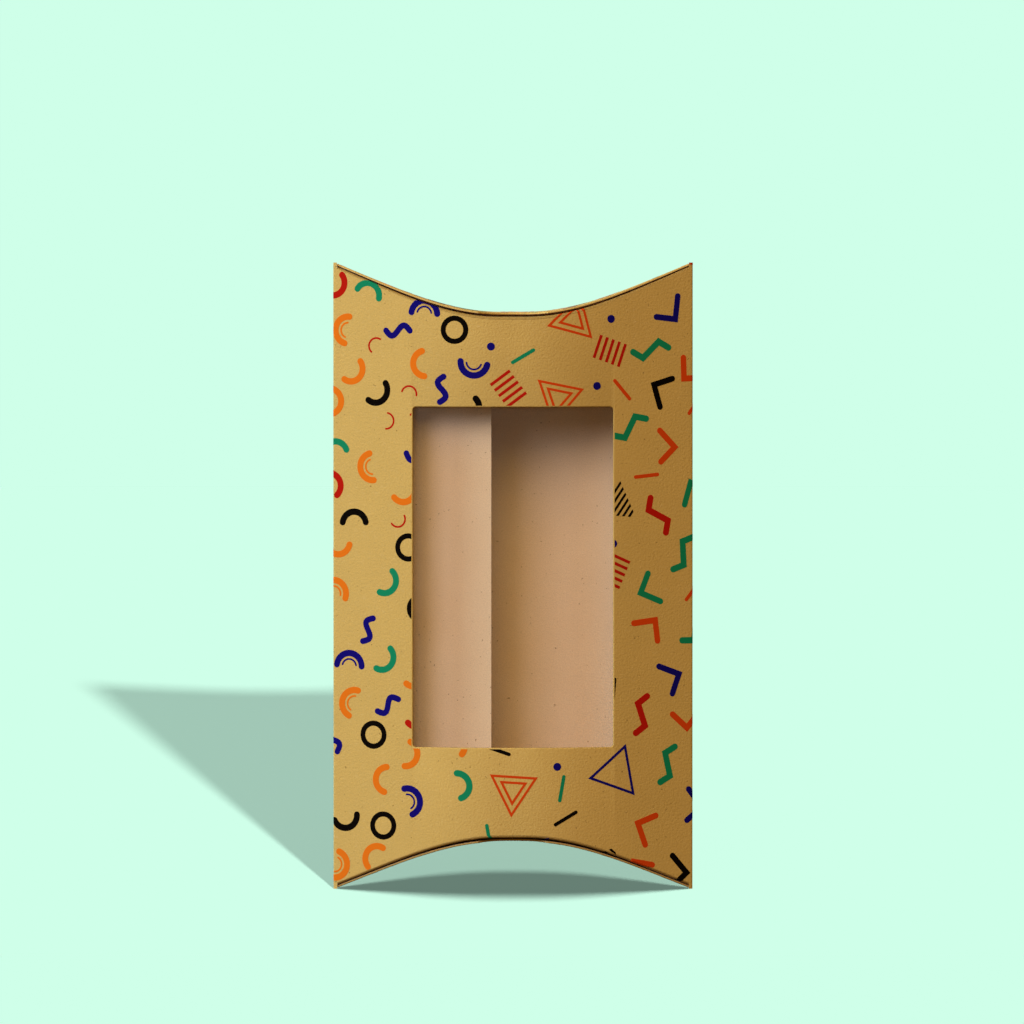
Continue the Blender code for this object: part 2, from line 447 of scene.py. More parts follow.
@dataclass
class BoardPath:
    """The way of the board round the box, as stations from the back panel's cut edge to the glue flap's."""

    form: BoxForm
    panel_step: float = 0.9 * MM
    fold_steps: int = 14
    leaf_steps: int = 6
    seam_steps: int = 10
    free_steps: int = 36
    nib_step: float = 0.05 * MM  # width of the slanted cut between a corner tip and the crease
    glue: float = 0.02 * MM  # between the back panel's cut edge and the leaf under it
    stations: list[Station] = field(default_factory=list)
    front_start: int = 0
    front_end: int = 0
    print_end: float = 0.0

    def __post_init__(self) -> None:
        """Walk once round the box."""
        self._walk_back()
        self._walk_fold(1)
        self.front_start = len(self.stations) - 1
        self._walk_front()
        self.front_end = len(self.stations) - 1
        self._walk_fold(-1)
        self._walk_glue_flap()

    def _put(self, outer: Pair, inner: Pair, high: float) -> None:
        """Add one station whose ends mirror each other in height.

        Args:
            outer: X and Y of the outside.
            inner: X and Y of the inside.
            high: height at which the board ends.
        """
        place = Vector(outer)
        along = 0.0
        if self.stations:
            along = self.stations[-1].along + (place - self.stations[-1].outer).length
        self.stations.append(Station(along, place, Vector(inner), self.form.height - high, high))

    def _panel_lines(self, start: float, end: float) -> list[float]:
        """Places of a panel's stations, among them the cuts of the corner tips and of the notch.

        Args:
            start: X at which the panel begins.
            end: X at which it ends.

        Returns:
            X of each station, in the order of the walk.
        """
        form = self.form
        count = round(abs(end - start) / self.panel_step)
        lines = {start + (end - start) * index / count for index in range(count + 1)}
        clear = self.panel_step / 2
        tip, beside_window = form.nib_inside, form.window_width / 2 + clear
        cuts = [tip, tip - self.nib_step, form.notch_corner, beside_window]
        cuts += [-cut for cut in cuts]
        lines = {x for x in lines if x in (start, end) or min(abs(x - cut) for cut in cuts) > clear}
        lines |= {cut for cut in cuts if min(start, end) < cut < max(start, end)}
        return sorted(lines, reverse=end < start)

    def _walk_back(self) -> None:
        """The back panel, from its cut edge to the right fold."""
        form = self.form
        for x in self._panel_lines(self.nib_step - form.nib_inside, form.flank_end)[:-1]:
            high = form.height if x >= form.nib_inside else form.back_crease(x) - form.crease_radius
            seat = form.inner(x)
            if x < form.seam_start:
                seat = max(seat, self._leaf(x) + self.glue)
            self._put((x, seat + form.thickness(x)), (x, seat), high)

    def _walk_front(self) -> None:
        """The front panel, from the right fold to the left one."""
        form = self.form
        for x in self._panel_lines(form.flank_end, -form.flank_end)[1:-1]:
            high = form.height if abs(x) >= form.nib_inside else form.front_crease(x) - form.crease_radius
            self._put((x, -form.outer(x)), (x, -form.inner(x)), high)

    def _walk_fold(self, side: int) -> None:
        """The board's turn round a long edge of the box.

        Args:
            side: 1 for the right edge, -1 for the left one, round which it turns further.
        """
        form = self.form
        turn = math.pi / 2 - form.flank_angle
        first, last = (turn, -turn) if side > 0 else (-turn, math.pi / 2)
        inside = form.fold_radius - form.board
        for index in range(self.fold_steps + 1):
            angle = first + (last - first) * index / self.fold_steps
            across, through = math.cos(angle), math.sin(angle)
            outer = (side * (form.fold_centre + form.fold_radius * across), form.fold_radius * through)
            inner = (side * (form.fold_centre + inside * across), inside * through)
            self._put(outer, inner, form.height)

    def _leaf(self, x: float) -> float:
        """How far back the outside of the leaf between the left fold and the seam lies.

        Args:
            x: place across the box.

        Returns:
            Its Y.
        """
        form = self.form
        seat = form.inner(form.seam_start) - form.gap
        share = (x + form.fold_centre) / (form.seam_start + form.fold_centre)
        return form.fold_radius + share * (seat - form.fold_radius)

    def _walk_glue_flap(self) -> None:
        """The leaf that dives under the back panel, the seam and the free part of the glue flap."""
        form = self.form
        for index in range(1, self.leaf_steps):
            x = form.seam_start + (form.seam_start + form.fold_centre) * (index / self.leaf_steps - 1)
            high = form.height if x <= -form.nib_inside else form.glue_flap_top(x)
            self._put((x, self._leaf(x)), (x, self._leaf(x) - form.board), high)
        self.print_end = self.stations[-1].along
        for index in range(self.seam_steps + 1):
            x = form.seam_start + form.seam_width * index / self.seam_steps
            back = form.inner(x) - form.gap
            self._put((x, back), (x, back - form.thickness(x)), form.glue_flap_top(x))
        back = form.inner(form.seam_end) - form.gap
        fall = (back + form.glue_flap_forward) / form.glue_flap_span
        thickness = form.board * math.hypot(1, fall)
        for index in range(1, self.free_steps + 1):
            x = form.seam_end + form.glue_flap_span * index / self.free_steps
            y = back - fall * (x - form.seam_end)
            self._put((x, y), (x, y - thickness), form.glue_flap_top(x))

    def _stretch(self, side: int) -> list[Station]:
        """The stations of the back panel, side 1, or the front, side -1, and a fold's next to them."""
        start, end = (0, self.front_start) if side > 0 else (self.front_start, self.front_end + 2)
        return self.stations[start:end]

    def along_panel(self, x: float, side: int) -> float:
        """Where a place of a panel lies along the board.

        Args:
            x: place across the box.
            side: 1 for the back panel, -1 for the front.

        Returns:
            Distance along the board's outside.
        """
        stretch = self._stretch(side)
        for one, two in pairwise(stretch):
            if min(one.outer.x, two.outer.x) <= x <= max(one.outer.x, two.outer.x):
                share = (x - one.outer.x) / (two.outer.x - one.outer.x)
                return one.along + share * (two.along - one.along)
        return stretch[0].along if side > 0 else stretch[-1].along

    def panel_xs(self, side: int, reach: float) -> list[float]:
        """X of a panel's stations within reach of its middle, from left to right, and of the reach itself."""
        xs = [one.outer.x for one in self._stretch(side) if abs(one.outer.x) < reach - self.nib_step]
        return [-reach, *sorted(xs), reach]

    def cell(self, along: float) -> tuple[int, Station, Station, float]:
        """The stations on both sides of a place.

        Args:
            along: distance along the board.

        Returns:
            The first one's number, the two, and how far from one to the other the place lies, as a share.
        """
        before = bisect_right(self.stations, along, key=lambda station: station.along) - 1
        index = min(max(before, 0), len(self.stations) - 2)
        one, two = self.stations[index : index + 2]
        return index, one, two, (along - one.along) / (two.along - one.along)

    def across(self, along: float) -> float:
        """X of a distance along the board."""
        _, one, two, share = self.cell(along)
        return one.outer.x + share * (two.outer.x - one.outer.x)

    def limit(self, along: float, top: bool) -> float:
        """Height at which the board ends, at its top or its bottom.

        Args:
            along: distance along the board.
            top: whether its upper end is meant.

        Returns:
            The height.
        """
        _, one, two, share = self.cell(along)
        if top:
            return one.high + share * (two.high - one.high)
        return one.low + share * (two.low - one.low)

    def _outwards(self, index: int) -> Vector:
        """The direction square to the board's outside.

        Args:
            index: number of a station.

        Returns:
            The direction there.
        """
        before = self.stations[max(0, index - 1)]
        after = self.stations[min(len(self.stations) - 1, index + 1)]
        run = (after.outer - before.outer).normalized()
        return Vector((-run.y, run.x))

    def outside(self, along: float, height: float, lift: float) -> Vector:
        """A point on or over the board's outside.

        Args:
            along: distance along the board.
            height: the point's height.
            lift: how far over the outside it lies.

        Returns:
            The point.
        """
        index, one, two, share = self.cell(along)
        first = one.outer + self._outwards(index) * lift
        second = two.outer + self._outwards(index + 1) * lift
        place = first.lerp(second, share)
        return Vector((place.x, place.y, height))


@dataclass
class BoardFinishes:
    """The board's three materials, in the order of the meshes' slots."""

    outside: Material
    inside: Material
    cut: Material

    def slots(self) -> list[Material]:
        """The materials in the order of BoardSlot."""
        return [self.outside, self.inside, self.cut]


@dataclass
class BoardWrap:
    """The printed board that goes round the box and ends in the glue flap inside."""

    form: BoxForm
    path: BoardPath
    window_corner: float = 0.8 * MM
    cut_facing: float = 0.3  # how far at most a face of the window's cut turns to the front, as a share

    def build(self, finishes: BoardFinishes) -> Object:
        """Make the sheet, cut its window and let it stand for the CAD's panels, folds and glue flap.

        Args:
            finishes: the board's materials.

        Returns:
            The piece.
        """
        box = self.form
        piece = dressed(self._mesh(), finishes.slots())
        size = Vector((box.window_width, box.depth, box.window_height))
        centre = Vector((0, -(box.depth + box.full_swell) / 2, box.height / 2))
        cut_away(piece, block_cutter(size, centre, self.window_corner))
        self._mark_window_edge(piece.data)
        self._press_edges(piece.data)
        shade(piece.data)
        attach(piece, "root")
        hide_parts("front_panel", "back_panel", "left_fold", "right_fold", "glue_flap")
        return piece

    def _mesh(self) -> Mesh:
        """The sheet without its window, with its flat layout as a UV map.

        Returns:
            The mesh.
        """
        form = bmesh.new()
        layout = form.loops.layers.uv.new(BLANK_MAP)
        creases = form.loops.layers.uv.new(CREASE_MAP)
        rings = []
        for one in self.path.stations:
            ends = [(one.outer, one.low), (one.outer, one.high), (one.inner, one.high), (one.inner, one.low)]
            rings.append([form.verts.new((*place, height)) for place, height in ends])
        kinds = [BoardSlot.OUTSIDE, BoardSlot.CUT, BoardSlot.INSIDE, BoardSlot.CUT]
        for (one, ring), (two, after) in pairwise(zip(self.path.stations, rings)):
            for corner, kind in enumerate(kinds):
                beside = (corner + 1) % len(ring)
                face = form.faces.new((ring[corner], ring[beside], after[beside], after[corner]))
                face.material_index = kind.value
                for loop in face.loops:
                    here = one if loop.vert in ring else two
                    height = loop.vert.co.z
                    loop[layout].uv = (here.along / MM, height / MM)
                    ends = (height - here.low, here.high - height)
                    loop[creases].uv = [(end + self.form.crease_arc / 2) / MM for end in ends]
        for ring in (rings[0], rings[-1]):
            form.faces.new(ring).material_index = BoardSlot.CUT.value
        bmesh.ops.recalc_face_normals(form, faces=form.faces)
        return finished(form, "board_wrap")

    def _by_window(self, place: Vector) -> bool:
        """Whether a place lies no higher or lower than the window's cut."""
        return abs(place.z - self.form.height / 2) < self.form.window_height / 2 + self.window_corner

    def _mark_window_edge(self, mesh: Mesh) -> None:
        """Give the faces that the window's cutter left the look of cut board.

        Args:
            mesh: the sheet with its window.
        """
        reach = self.form.window_width / 2 + self.window_corner
        for face in mesh.polygons:
            in_front = abs(face.center.x) < reach and face.center.y < -self.form.full_swell / 3
            if in_front and self._by_window(face.center) and abs(face.normal.y) < self.cut_facing:
                face.material_index = BoardSlot.CUT.value

    def _press_edges(self, mesh: Mesh) -> None:
        """Round the outside along the window and the upright cuts, where the cutting rule pressed it down.

        Args:
            mesh: the sheet with its window's edge marked.
        """
        pair = {BoardSlot.OUTSIDE.value, BoardSlot.CUT.value}
        form = bmesh.new()
        form.from_mesh(mesh)
        rim = []
        for edge in form.edges:
            place = (edge.verts[0].co + edge.verts[1].co) / 2
            if self._by_window(place) and {face.material_index for face in edge.link_faces} == pair:
                rim.append(edge)
        bmesh.ops.bevel(
            form,
            geom=rim,
            offset=self.form.shoulder,
            offset_type="OFFSET",
            segments=3,
            profile=0.5,
            affect="EDGES",
            clamp_overlap=False,
            material=BoardSlot.OUTSIDE.value,
        )
        form.to_mesh(mesh)
        form.free()


@dataclass(frozen=True)
class FlapShape:
    """Where the board of one end flap lies when the box is closed.

    Attributes:
        name: the flap's name, which is also its CAD node's.
        side: 1 if it hangs on the back panel, -1 if on the front.
        top: whether it is at the top of the box.
    """

    form: BoxForm
    name: str
    side: int
    top: bool
    depth_steps: int = 26
    arc_steps: int = 6
    press_shares: tuple[float, ...] = (1, 0.5, 0.13, 0)  # lines of the pressed edge, as shares of its width

    def crease(self, x: float) -> float:
        """Height of the crease as it would be at the top of the box."""
        return self.form.back_crease(x) if self.side > 0 else self.form.front_crease(x)

    def run(self, x: float) -> float:
        """Length of the flat board of the flap.

        Args:
            x: place across the box.

        Returns:
            Its length from the end of its rounded crease to its free edge.
        """
        form = self.form
        start = form.outer(x) - form.crease_radius
        if self.side > 0:
            return start + form.outer_flap_edge(x)
        return start + min(form.inner_flap_past_middle, form.inner(x) - form.gap)

    def place(self, x: float, progress: float) -> Vector:
        """A point of the flap's inside.

        Args:
            x: place across the box.
            progress: from 0, where the crease begins, over 1, where it ends, to 2 at the free edge.

        Returns:
            The point, in the frame.
        """
        form = self.form
        angle = math.pi / 2 * min(progress, 1.0)
        radius = form.crease_radius - form.thickness(x)
        flat = max(0.0, progress - 1.0) * self.run(x)
        y = self.side * (form.outer(x) - form.crease_radius + radius * math.cos(angle) - flat)
        z = self.crease(x) - form.crease_radius + radius * math.sin(angle)
        return Vector((x, y, z if self.top else form.height - z))

    def fullness(self, x: float, progress: float) -> float:
        """The board's thickness, which sinks towards the free edge.

        Args:
            x: place across the box.
            progress: over the flap.

        Returns:
            The thickness as a share of the full one.
        """
        left = (2.0 - max(1.0, progress)) * self.run(x)
        into = 1 - min(1.0, left / self.form.shoulder)
        return 1 - self.form.shoulder / self.form.board * (1 - math.sqrt(1 - into**2))

    def progresses(self) -> list[float]:
        """The lines of the flap's mesh along its crease.

        Returns:
            The progress of each, from the crease to the free edge.
        """
        arc = [index / self.arc_steps for index in range(self.arc_steps)]
        flat = [1 + index / self.depth_steps for index in range(self.depth_steps)]
        edge = self.form.shoulder / self.run(0)
        return arc + flat + [2 - share * edge for share in self.press_shares]


@dataclass
class EndFlap:
    """One end flap, a sheet that follows its curved crease and is thickened outwards."""

    shape: FlapShape
    path: BoardPath
    bend: float = 15 * MM  # how far from the crease the board still bends
    bend_setback: float = 0.75 * MM

    def build(self, finishes: BoardFinishes) -> Object:
        """Make the flap, thicken it and let it stand for the CAD's flap.

        Args:
            finishes: the board's materials.

        Returns:
            The piece.
        """
        piece = dressed(self._mesh(), finishes.slots())
        board = thicken(piece, 0.0, self.shape.form.board)
        board.material_offset = BoardSlot.INSIDE.value
        board.material_offset_rim = BoardSlot.CUT.value
        board.vertex_group = self._press_edge(piece)
        self.hinge(piece)
        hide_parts(self.shape.name)
        return piece

    def hinge(self, piece: Object) -> None:
        """Bake the place of a piece of this flap into its mesh.

        Args:
            piece: the piece.
        """
        shape = self.shape
        level = shape.crease(0) if shape.top else shape.form.height - shape.crease(0)
        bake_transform(piece)

    def _columns(self) -> list[float]:
        """X of each column of the sheet's points."""
        return self.path.panel_xs(self.shape.side, self.shape.form.flap_reach)

    def _mesh(self) -> Mesh:
        """The flap's inside as a sheet that faces outwards, with its flat layout as a UV map.

        Returns:
            The mesh.
        """
        shape, arc = self.shape, self.shape.form.crease_arc
        form = bmesh.new()
        layout = form.loops.layers.uv.new(BLANK_MAP)
        creases = form.loops.layers.uv.new(CREASE_MAP)
        spots, past = {}, {}
        rows = []
        for x in self._columns():
            along = self.path.along_panel(x, shape.side)
            row = []
            for progress in shape.progresses():
                vertex = form.verts.new(shape.place(x, progress))
                row.append(vertex)
                spots[vertex] = (along / MM, self.unrolled(x, progress) / MM)
                flat = max(0.0, progress - 1.0) * shape.run(x)
                past[vertex] = ((abs(min(progress, 1.0) - 0.5) * arc + flat) / MM, FAR)
            rows.append(row)
        for row, after in pairwise(rows):
            for (one, two), (far_one, far_two) in zip(pairwise(row), pairwise(after)):
                corners = [one, two, far_two, far_one]
                if (shape.side > 0) != shape.top:
                    corners.reverse()
                for loop in form.faces.new(corners).loops:
                    loop[layout].uv = spots[loop.vert]
                    loop[creases].uv = past[loop.vert]
        for edge in form.edges:
            edge.smooth = not edge.is_boundary
        return finished(form, shape.name + "_board")

    def _press_edge(self, piece: Object) -> str:
        """Thin the board towards its free edge, where the cutting rule pressed the outside down.

        Args:
            piece: the flap.

        Returns:
            The name of the vertex group that thins it.
        """
        group = piece.vertex_groups.new(name="fullness")
        for index, (x, progress) in enumerate(product(self._columns(), self.shape.progresses())):
            group.add([index], self.shape.fullness(x, progress), "REPLACE")
        return group.name

    def unrolled(self, x: float, progress: float) -> float:
        """Where a point of the flap lies in the flat layout of the blank.

        Args:
            x: place across the box.
            progress: over the flap.

        Returns:
            Its height there.
        """
        shape = self.shape
        past = shape.form.crease_arc * min(progress, 1.0) + max(0.0, progress - 1.0) * shape.run(x)
        height = shape.crease(x) - shape.form.crease_radius + past
        return height if shape.top else shape.form.height - height


@dataclass
class WindowFilm:
    """The clear film glued behind the window."""

    form: BoxForm
    thickness: float = 0.18 * MM
    lap: float = 6 * MM
    columns: int = 80
    rows: int = 48

    def build(self, material: Material) -> Object:
        """Make the film as a fine closed sheet and let it stand for the CAD's film.

        Args:
            material: the film's.

        Returns:
            The piece.
        """
        box = self.form
        reach = box.window_width / 2 + self.lap
        rise = box.window_height / 2 + self.lap
        form = bmesh.new()
        points = {}
        for depth, column, row in product((0, 1), range(self.columns + 1), range(self.rows + 1)):
            x = reach * (2 * column / self.columns - 1)
            z = box.height / 2 + rise * (2 * row / self.rows - 1)
            setback = box.gap + depth * self.thickness * math.hypot(1, box.slope(x))
            points[depth, column, row] = form.verts.new((x, setback - box.inner(x), z))
        for depth, column, row in product((0, 1), range(self.columns), range(self.rows)):
            corners = ((column, row), (column + 1, row), (column + 1, row + 1), (column, row + 1))
            form.faces.new([points[depth, *corner] for corner in corners])
        rim = [(column, 0) for column in range(self.columns)]
        rim += [(self.columns, row) for row in range(self.rows)]
        rim += [(column, self.rows) for column in range(self.columns, 0, -1)]
        rim += [(0, row) for row in range(self.rows, 0, -1)]
        for one, two in pairwise([*rim, rim[0]]):
            form.faces.new((points[0, *one], points[0, *two], points[1, *two], points[1, *one]))
        bmesh.ops.recalc_face_normals(form, faces=form.faces)
        mesh = finished(form, "clear_window_film")
        shade(mesh)
        piece = dressed(mesh, [material])
        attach(piece, "root")
        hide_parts("window_film")
        return piece


@dataclass(frozen=True)
class KraftBoard:
    """Unbleached kraft board, rolled and left uncoated: matt, mottled, with dark flecks, pale fibres and
    painted shade along its creases.

    Attributes:
        name: the material's name.
        base: colour of the sheet.
        fleck: colour of the bark flecks.
        fibre: colour of the pale fibres.
        cloud: width of the mottling, in millimetres.
        cloudiness: how much the mottling varies the tone.
        graininess: how much the fine fibres vary it.
        grain: width of the fine fibres, in millimetres.
        felt: width of the widest bumps that the felt left on the sheet, in millimetres.
        relief: height of those bumps.
        fleck_pitch: distance between flecks, in millimetres.
        fleck_share: share of a fleck's pitch that it covers.
        fleck_tone: how much of the sheet a fleck hides.
        wander: how far flecks and fibres stray from their places, in millimetres.
        wander_width: width of a stretch that strays together, in millimetres.
        fibre_length: of a pale fibre, in millimetres.
        fibre_width: of a pale fibre, in millimetres.
        fibre_tone: how much of the sheet a fibre hides.
        crease_shade: how much darker painted shade makes the board along a crease.
        crease_shade_width: how far from the crease the painted shade reaches, in millimetres.
    """

    name: str
    base: str
    fleck: str
    fibre: str
    cloud: float = 9.0
    cloudiness: float = 0.1
    graininess: float = 0.34
    grain: float = 0.34
    felt: float = 0.6
    relief: float = 0.15 * MM
    fleck_pitch: float = 1.2
    fleck_share: float = 0.16
    fleck_tone: float = 0.62
    wander: float = 1.6
    wander_width: float = 1 / 0.9
    fibre_length: float = 1.8
    fibre_width: float = 0.16
    fibre_tone: float = 0.5
    roughness: float = 0.86
    specular: float = 0.12  # bare fibre mirrors hardly anything
    # depth of the shade painted along the creases
    crease_shade: float = 0.45
    crease_shade_width: float = 0.7

    def material(self) -> Material:
        """Build the material.

        Returns:
            The material.
        """
        made = new_material(self.name)
        tree = made.node_tree
        colour, height = self.sheet(tree)
        bump = add(tree, "ShaderNodeBump", {"Strength": 1.0, "Distance": self.relief}, {"Height": height})
        shader = add(
            tree,
            "ShaderNodeBsdfPrincipled",
            {"Roughness": self.roughness, "Specular IOR Level": self.specular},
            {"Base Color": self._crease_shaded(tree, colour), "Normal": bump.outputs["Normal"]},
        )
        add(tree, "ShaderNodeOutputMaterial", {}, {"Surface": shader.outputs[0]})
        return made

    def _crease_shaded(self, tree: Tree, colour: Socket) -> Socket:
        """Darken a colour along the creases with painted shade.

        Args:
            tree: the material's node tree.
            colour: the sheet's.

        Returns:
            The socket of the darkened colour.
        """
        creases = add(tree, "ShaderNodeUVMap", {"uv_map": CREASE_MAP}).outputs["UV"]
        away = add(tree, "ShaderNodeSeparateXYZ", {}, {0: creases}).outputs
        least = {"operation": "MINIMUM"}
        nearest = add(tree, "ShaderNodeMath", least, {0: away[0], 1: away[1]}).outputs[0]
        fading = {"interpolation_type": "SMOOTHSTEP", "From Max": self.crease_shade_width, "To Min": self.crease_shade}
        share = add(tree, "ShaderNodeMapRange", fading | {"To Max": 0.0}, {"Value": nearest}).outputs[0]
        dark = MULTIPLY | {7: linear(self.fleck)}
        return add(tree, "ShaderNodeMix", dark, {0: share, 6: colour}).outputs[2]

    def sheet(self, tree: Tree) -> tuple[Socket, Socket]:
        """Add the nodes of the bare sheet.

        Args:
            tree: the material's node tree.

        Returns:
            The sockets of the sheet's colour and of its surface height.
        """
        flat = add(tree, "ShaderNodeUVMap", {"uv_map": BLANK_MAP}).outputs["UV"]
        here = {"Vector": flat}
        cloud = add(tree, "ShaderNodeTexNoise", {"Scale": 1 / self.cloud, "Detail": 4.0}, here)
        grain = add(tree, "ShaderNodeTexNoise", {"Scale": 1 / self.grain, "Detail": 3.0}, here)
        # The grain's mean is one half, and so is the clouds': together with the rest they have a mean of one.
        rest = 1 - (self.graininess + self.cloudiness) / 2
        grained = SCALE_AND_ADD | {1: self.graininess, 2: rest}
        fine = add(tree, "ShaderNodeMath", grained, {0: grain.outputs["Fac"]}).outputs[0]
        clouded = SCALE_AND_ADD | {1: self.cloudiness}
        tone = add(tree, "ShaderNodeMath", clouded, {0: cloud.outputs["Fac"], 2: fine}).outputs[0]
        toned = MULTIPLY | {0: 1.0, 6: linear(self.base)}
        colour = add(tree, "ShaderNodeMix", toned, {7: tone}).outputs[2]
        warp = add(tree, "ShaderNodeTexNoise", {"Scale": 1 / self.wander_width, "Detail": 2.0}, here)
        astray = SCALE_AND_ADD | {1: (self.wander, self.wander, 0.0)}
        bent = add(tree, "ShaderNodeVectorMath", astray, {0: warp.outputs["Color"], 2: flat}).outputs[0]
        for share, tint in ((self._fibres(tree, bent), self.fibre), (self._flecks(tree, bent), self.fleck)):
            colour = add(tree, "ShaderNodeMix", BLEND | {7: linear(tint)}, {0: share, 6: colour}).outputs[2]
        bumps = {"Scale": 1 / self.felt, "Detail": 3.0, "Roughness": 0.62}
        return colour, add(tree, "ShaderNodeTexNoise", bumps, here).outputs["Fac"]

    def _fibres(self, tree: Tree, place: Socket) -> Socket:
        """Scatter pale fibres that lie along the sheet.

        Args:
            tree: the material's node tree.
            place: where on the sheet.

        Returns:
            The socket of how much of the sheet they hide.
        """
        stretch = {"Scale": (1 / self.fibre_length, 1 / self.fibre_width, 1.0)}
        streaks = add(tree, "ShaderNodeMapping", stretch, {"Vector": place}).outputs[0]
        fibres = add(tree, "ShaderNodeTexNoise", {"Scale": 1.0, "Detail": 1.0}, {"Vector": streaks})
        peaks = {"From Min": 0.6, "From Max": 0.78, "To Max": self.fibre_tone}
        return add(tree, "ShaderNodeMapRange", peaks, {"Value": fibres.outputs["Fac"]}).outputs[0]

    def _flecks(self, tree: Tree, place: Socket) -> Socket:
        """Scatter dark flecks of many sizes.

        Args:
            tree: the material's node tree.
            place: where on the sheet.

        Returns:
            The socket of how much of the sheet they hide.
        """
        pitch = {"Scale": 1 / self.fleck_pitch, "Randomness": 1.0}
        cells = add(tree, "ShaderNodeTexVoronoi", pitch, {"Vector": place})
        size = add(tree, "ShaderNodeSeparateColor", {}, {"Color": cells.outputs["Color"]})
        scale = {"operation": "MULTIPLY", 1: self.fleck_share}
        reach = add(tree, "ShaderNodeMath", scale, {0: size.outputs["Red"]})
        inside = add(
            tree,
            "ShaderNodeMath",
            {"operation": "SUBTRACT", "use_clamp": True},
            {0: reach.outputs[0], 1: cells.outputs["Distance"]},
        )
        rim = {"From Max": self.fleck_share / 3, "To Max": self.fleck_tone}
        return add(tree, "ShaderNodeMapRange", rim, {"Value": inside.outputs[0]}).outputs[0]


@dataclass(frozen=True)
class PrintInk(KraftBoard):
    """Flexographic ink pressed into bare kraft: flat and matt, with the sheet's grain showing through.

    Attributes:
        ink: colour of the ink.
        show_through: how much of the sheet shows through the ink.
        print_relief: height of the sheet's bumps under the ink.
    """

    ink: str = "#000000"
    show_through: float = 0.004
    print_relief: float = 0.02 * MM
    roughness: float = 0.8
    specular: float = 0.02

    def material(self) -> Material:
        """Build the material.

        Returns:
            The material.
        """
        made = new_material(self.name)
        tree = made.node_tree
        colour, height = self.sheet(tree)
        wear = {"From Min": 0.35, "From Max": 0.75, "To Max": 2 * self.show_through}
        worn = add(tree, "ShaderNodeMapRange", wear, {"Value": height})
        mixed = add(tree, "ShaderNodeMix", BLEND | {6: linear(self.ink)}, {0: worn.outputs[0], 7: colour})
        pressed = {"Strength": 0.25, "Distance": self.print_relief}
        bump = add(tree, "ShaderNodeBump", pressed, {"Height": height})
        shader = add(
            tree,
            "ShaderNodeBsdfPrincipled",
            {"Roughness": self.roughness, "Specular IOR Level": self.specular},
            {"Base Color": mixed.outputs[2], "Normal": bump.outputs["Normal"]},
        )
        add(tree, "ShaderNodeOutputMaterial", {}, {"Surface": shader.outputs[0]})
        return made


@dataclass(frozen=True)
class CutBoard:
    """The cut edge of kraft board: pale, dry fibre in fine layers.

    Attributes:
        name: the material's name.
        base: colour of the freshly cut fibre.
        shade: colour between the layers.
        ply: thickness of a layer, in millimetres.
    """

    name: str
    base: str
    shade: str
    ply: float = 0.12

    def material(self) -> Material:
        """Build the material.

        Returns:
            The material.
        """
        made = new_material(self.name)
        tree = made.node_tree
        place = add(tree, "ShaderNodeTexCoord").outputs["Object"]
        layers = {"Scale": 1 / (self.ply * MM), "Detail": 2.0}
        plies = add(tree, "ShaderNodeTexNoise", layers, {"Vector": place})
        gaps = {"From Min": 0.35, "From Max": 0.7, "To Max": 0.45}
        share = add(tree, "ShaderNodeMapRange", gaps, {"Value": plies.outputs["Fac"]})
        colours = BLEND | {6: linear(self.base), 7: linear(self.shade)}
        mixed = add(tree, "ShaderNodeMix", colours, {0: share.outputs[0]})
        dry = {"Roughness": 0.92, "Specular IOR Level": 0.2}
        shader = add(tree, "ShaderNodeBsdfPrincipled", dry, {"Base Color": mixed.outputs[2]})
        add(tree, "ShaderNodeOutputMaterial", {}, {"Surface": shader.outputs[0]})
        return made


@dataclass(frozen=True)
class ClearFilm:
    """Cast clear film: colourless and glossy, with a faint haze.

    Attributes:
        name: the material's name.
        tint: colour of the film.
        haze: how much of the light the film holds back.
        unevenness: how much the haze varies, as a share of itself.
        haze_width: width of the haze's clouds, in millimetres.
    """

    name: str
    tint: str
    haze: float = 0.02
    unevenness: float = 0.3
    haze_width: float = 14.0

    def material(self) -> Material:
        """Build the material.

        Returns:
            The material.
        """
        made = new_material(self.name)
        made.surface_render_method = "BLENDED"
        tree = made.node_tree
        place = add(tree, "ShaderNodeTexCoord").outputs["Object"]
        width = {"Scale": 1 / (self.haze_width * MM), "Detail": 2.0}
        clouds = add(tree, "ShaderNodeTexNoise", width, {"Vector": place})
        least, most = self.haze * (1 - self.unevenness), self.haze * (1 + self.unevenness)
        spread = {"From Min": 0.3, "From Max": 0.7, "To Min": least, "To Max": most}
        alpha = add(tree, "ShaderNodeMapRange", spread, {"Value": clouds.outputs["Fac"]})
        shader = add(
            tree,
            "ShaderNodeBsdfPrincipled",
            {"Base Color": linear(self.tint), "Roughness": 0.06, "IOR": 1.46},
            {"Alpha": alpha.outputs[0]},
        )
        add(tree, "ShaderNodeOutputMaterial", {}, {"Surface": shader.outputs[0]})
        return made


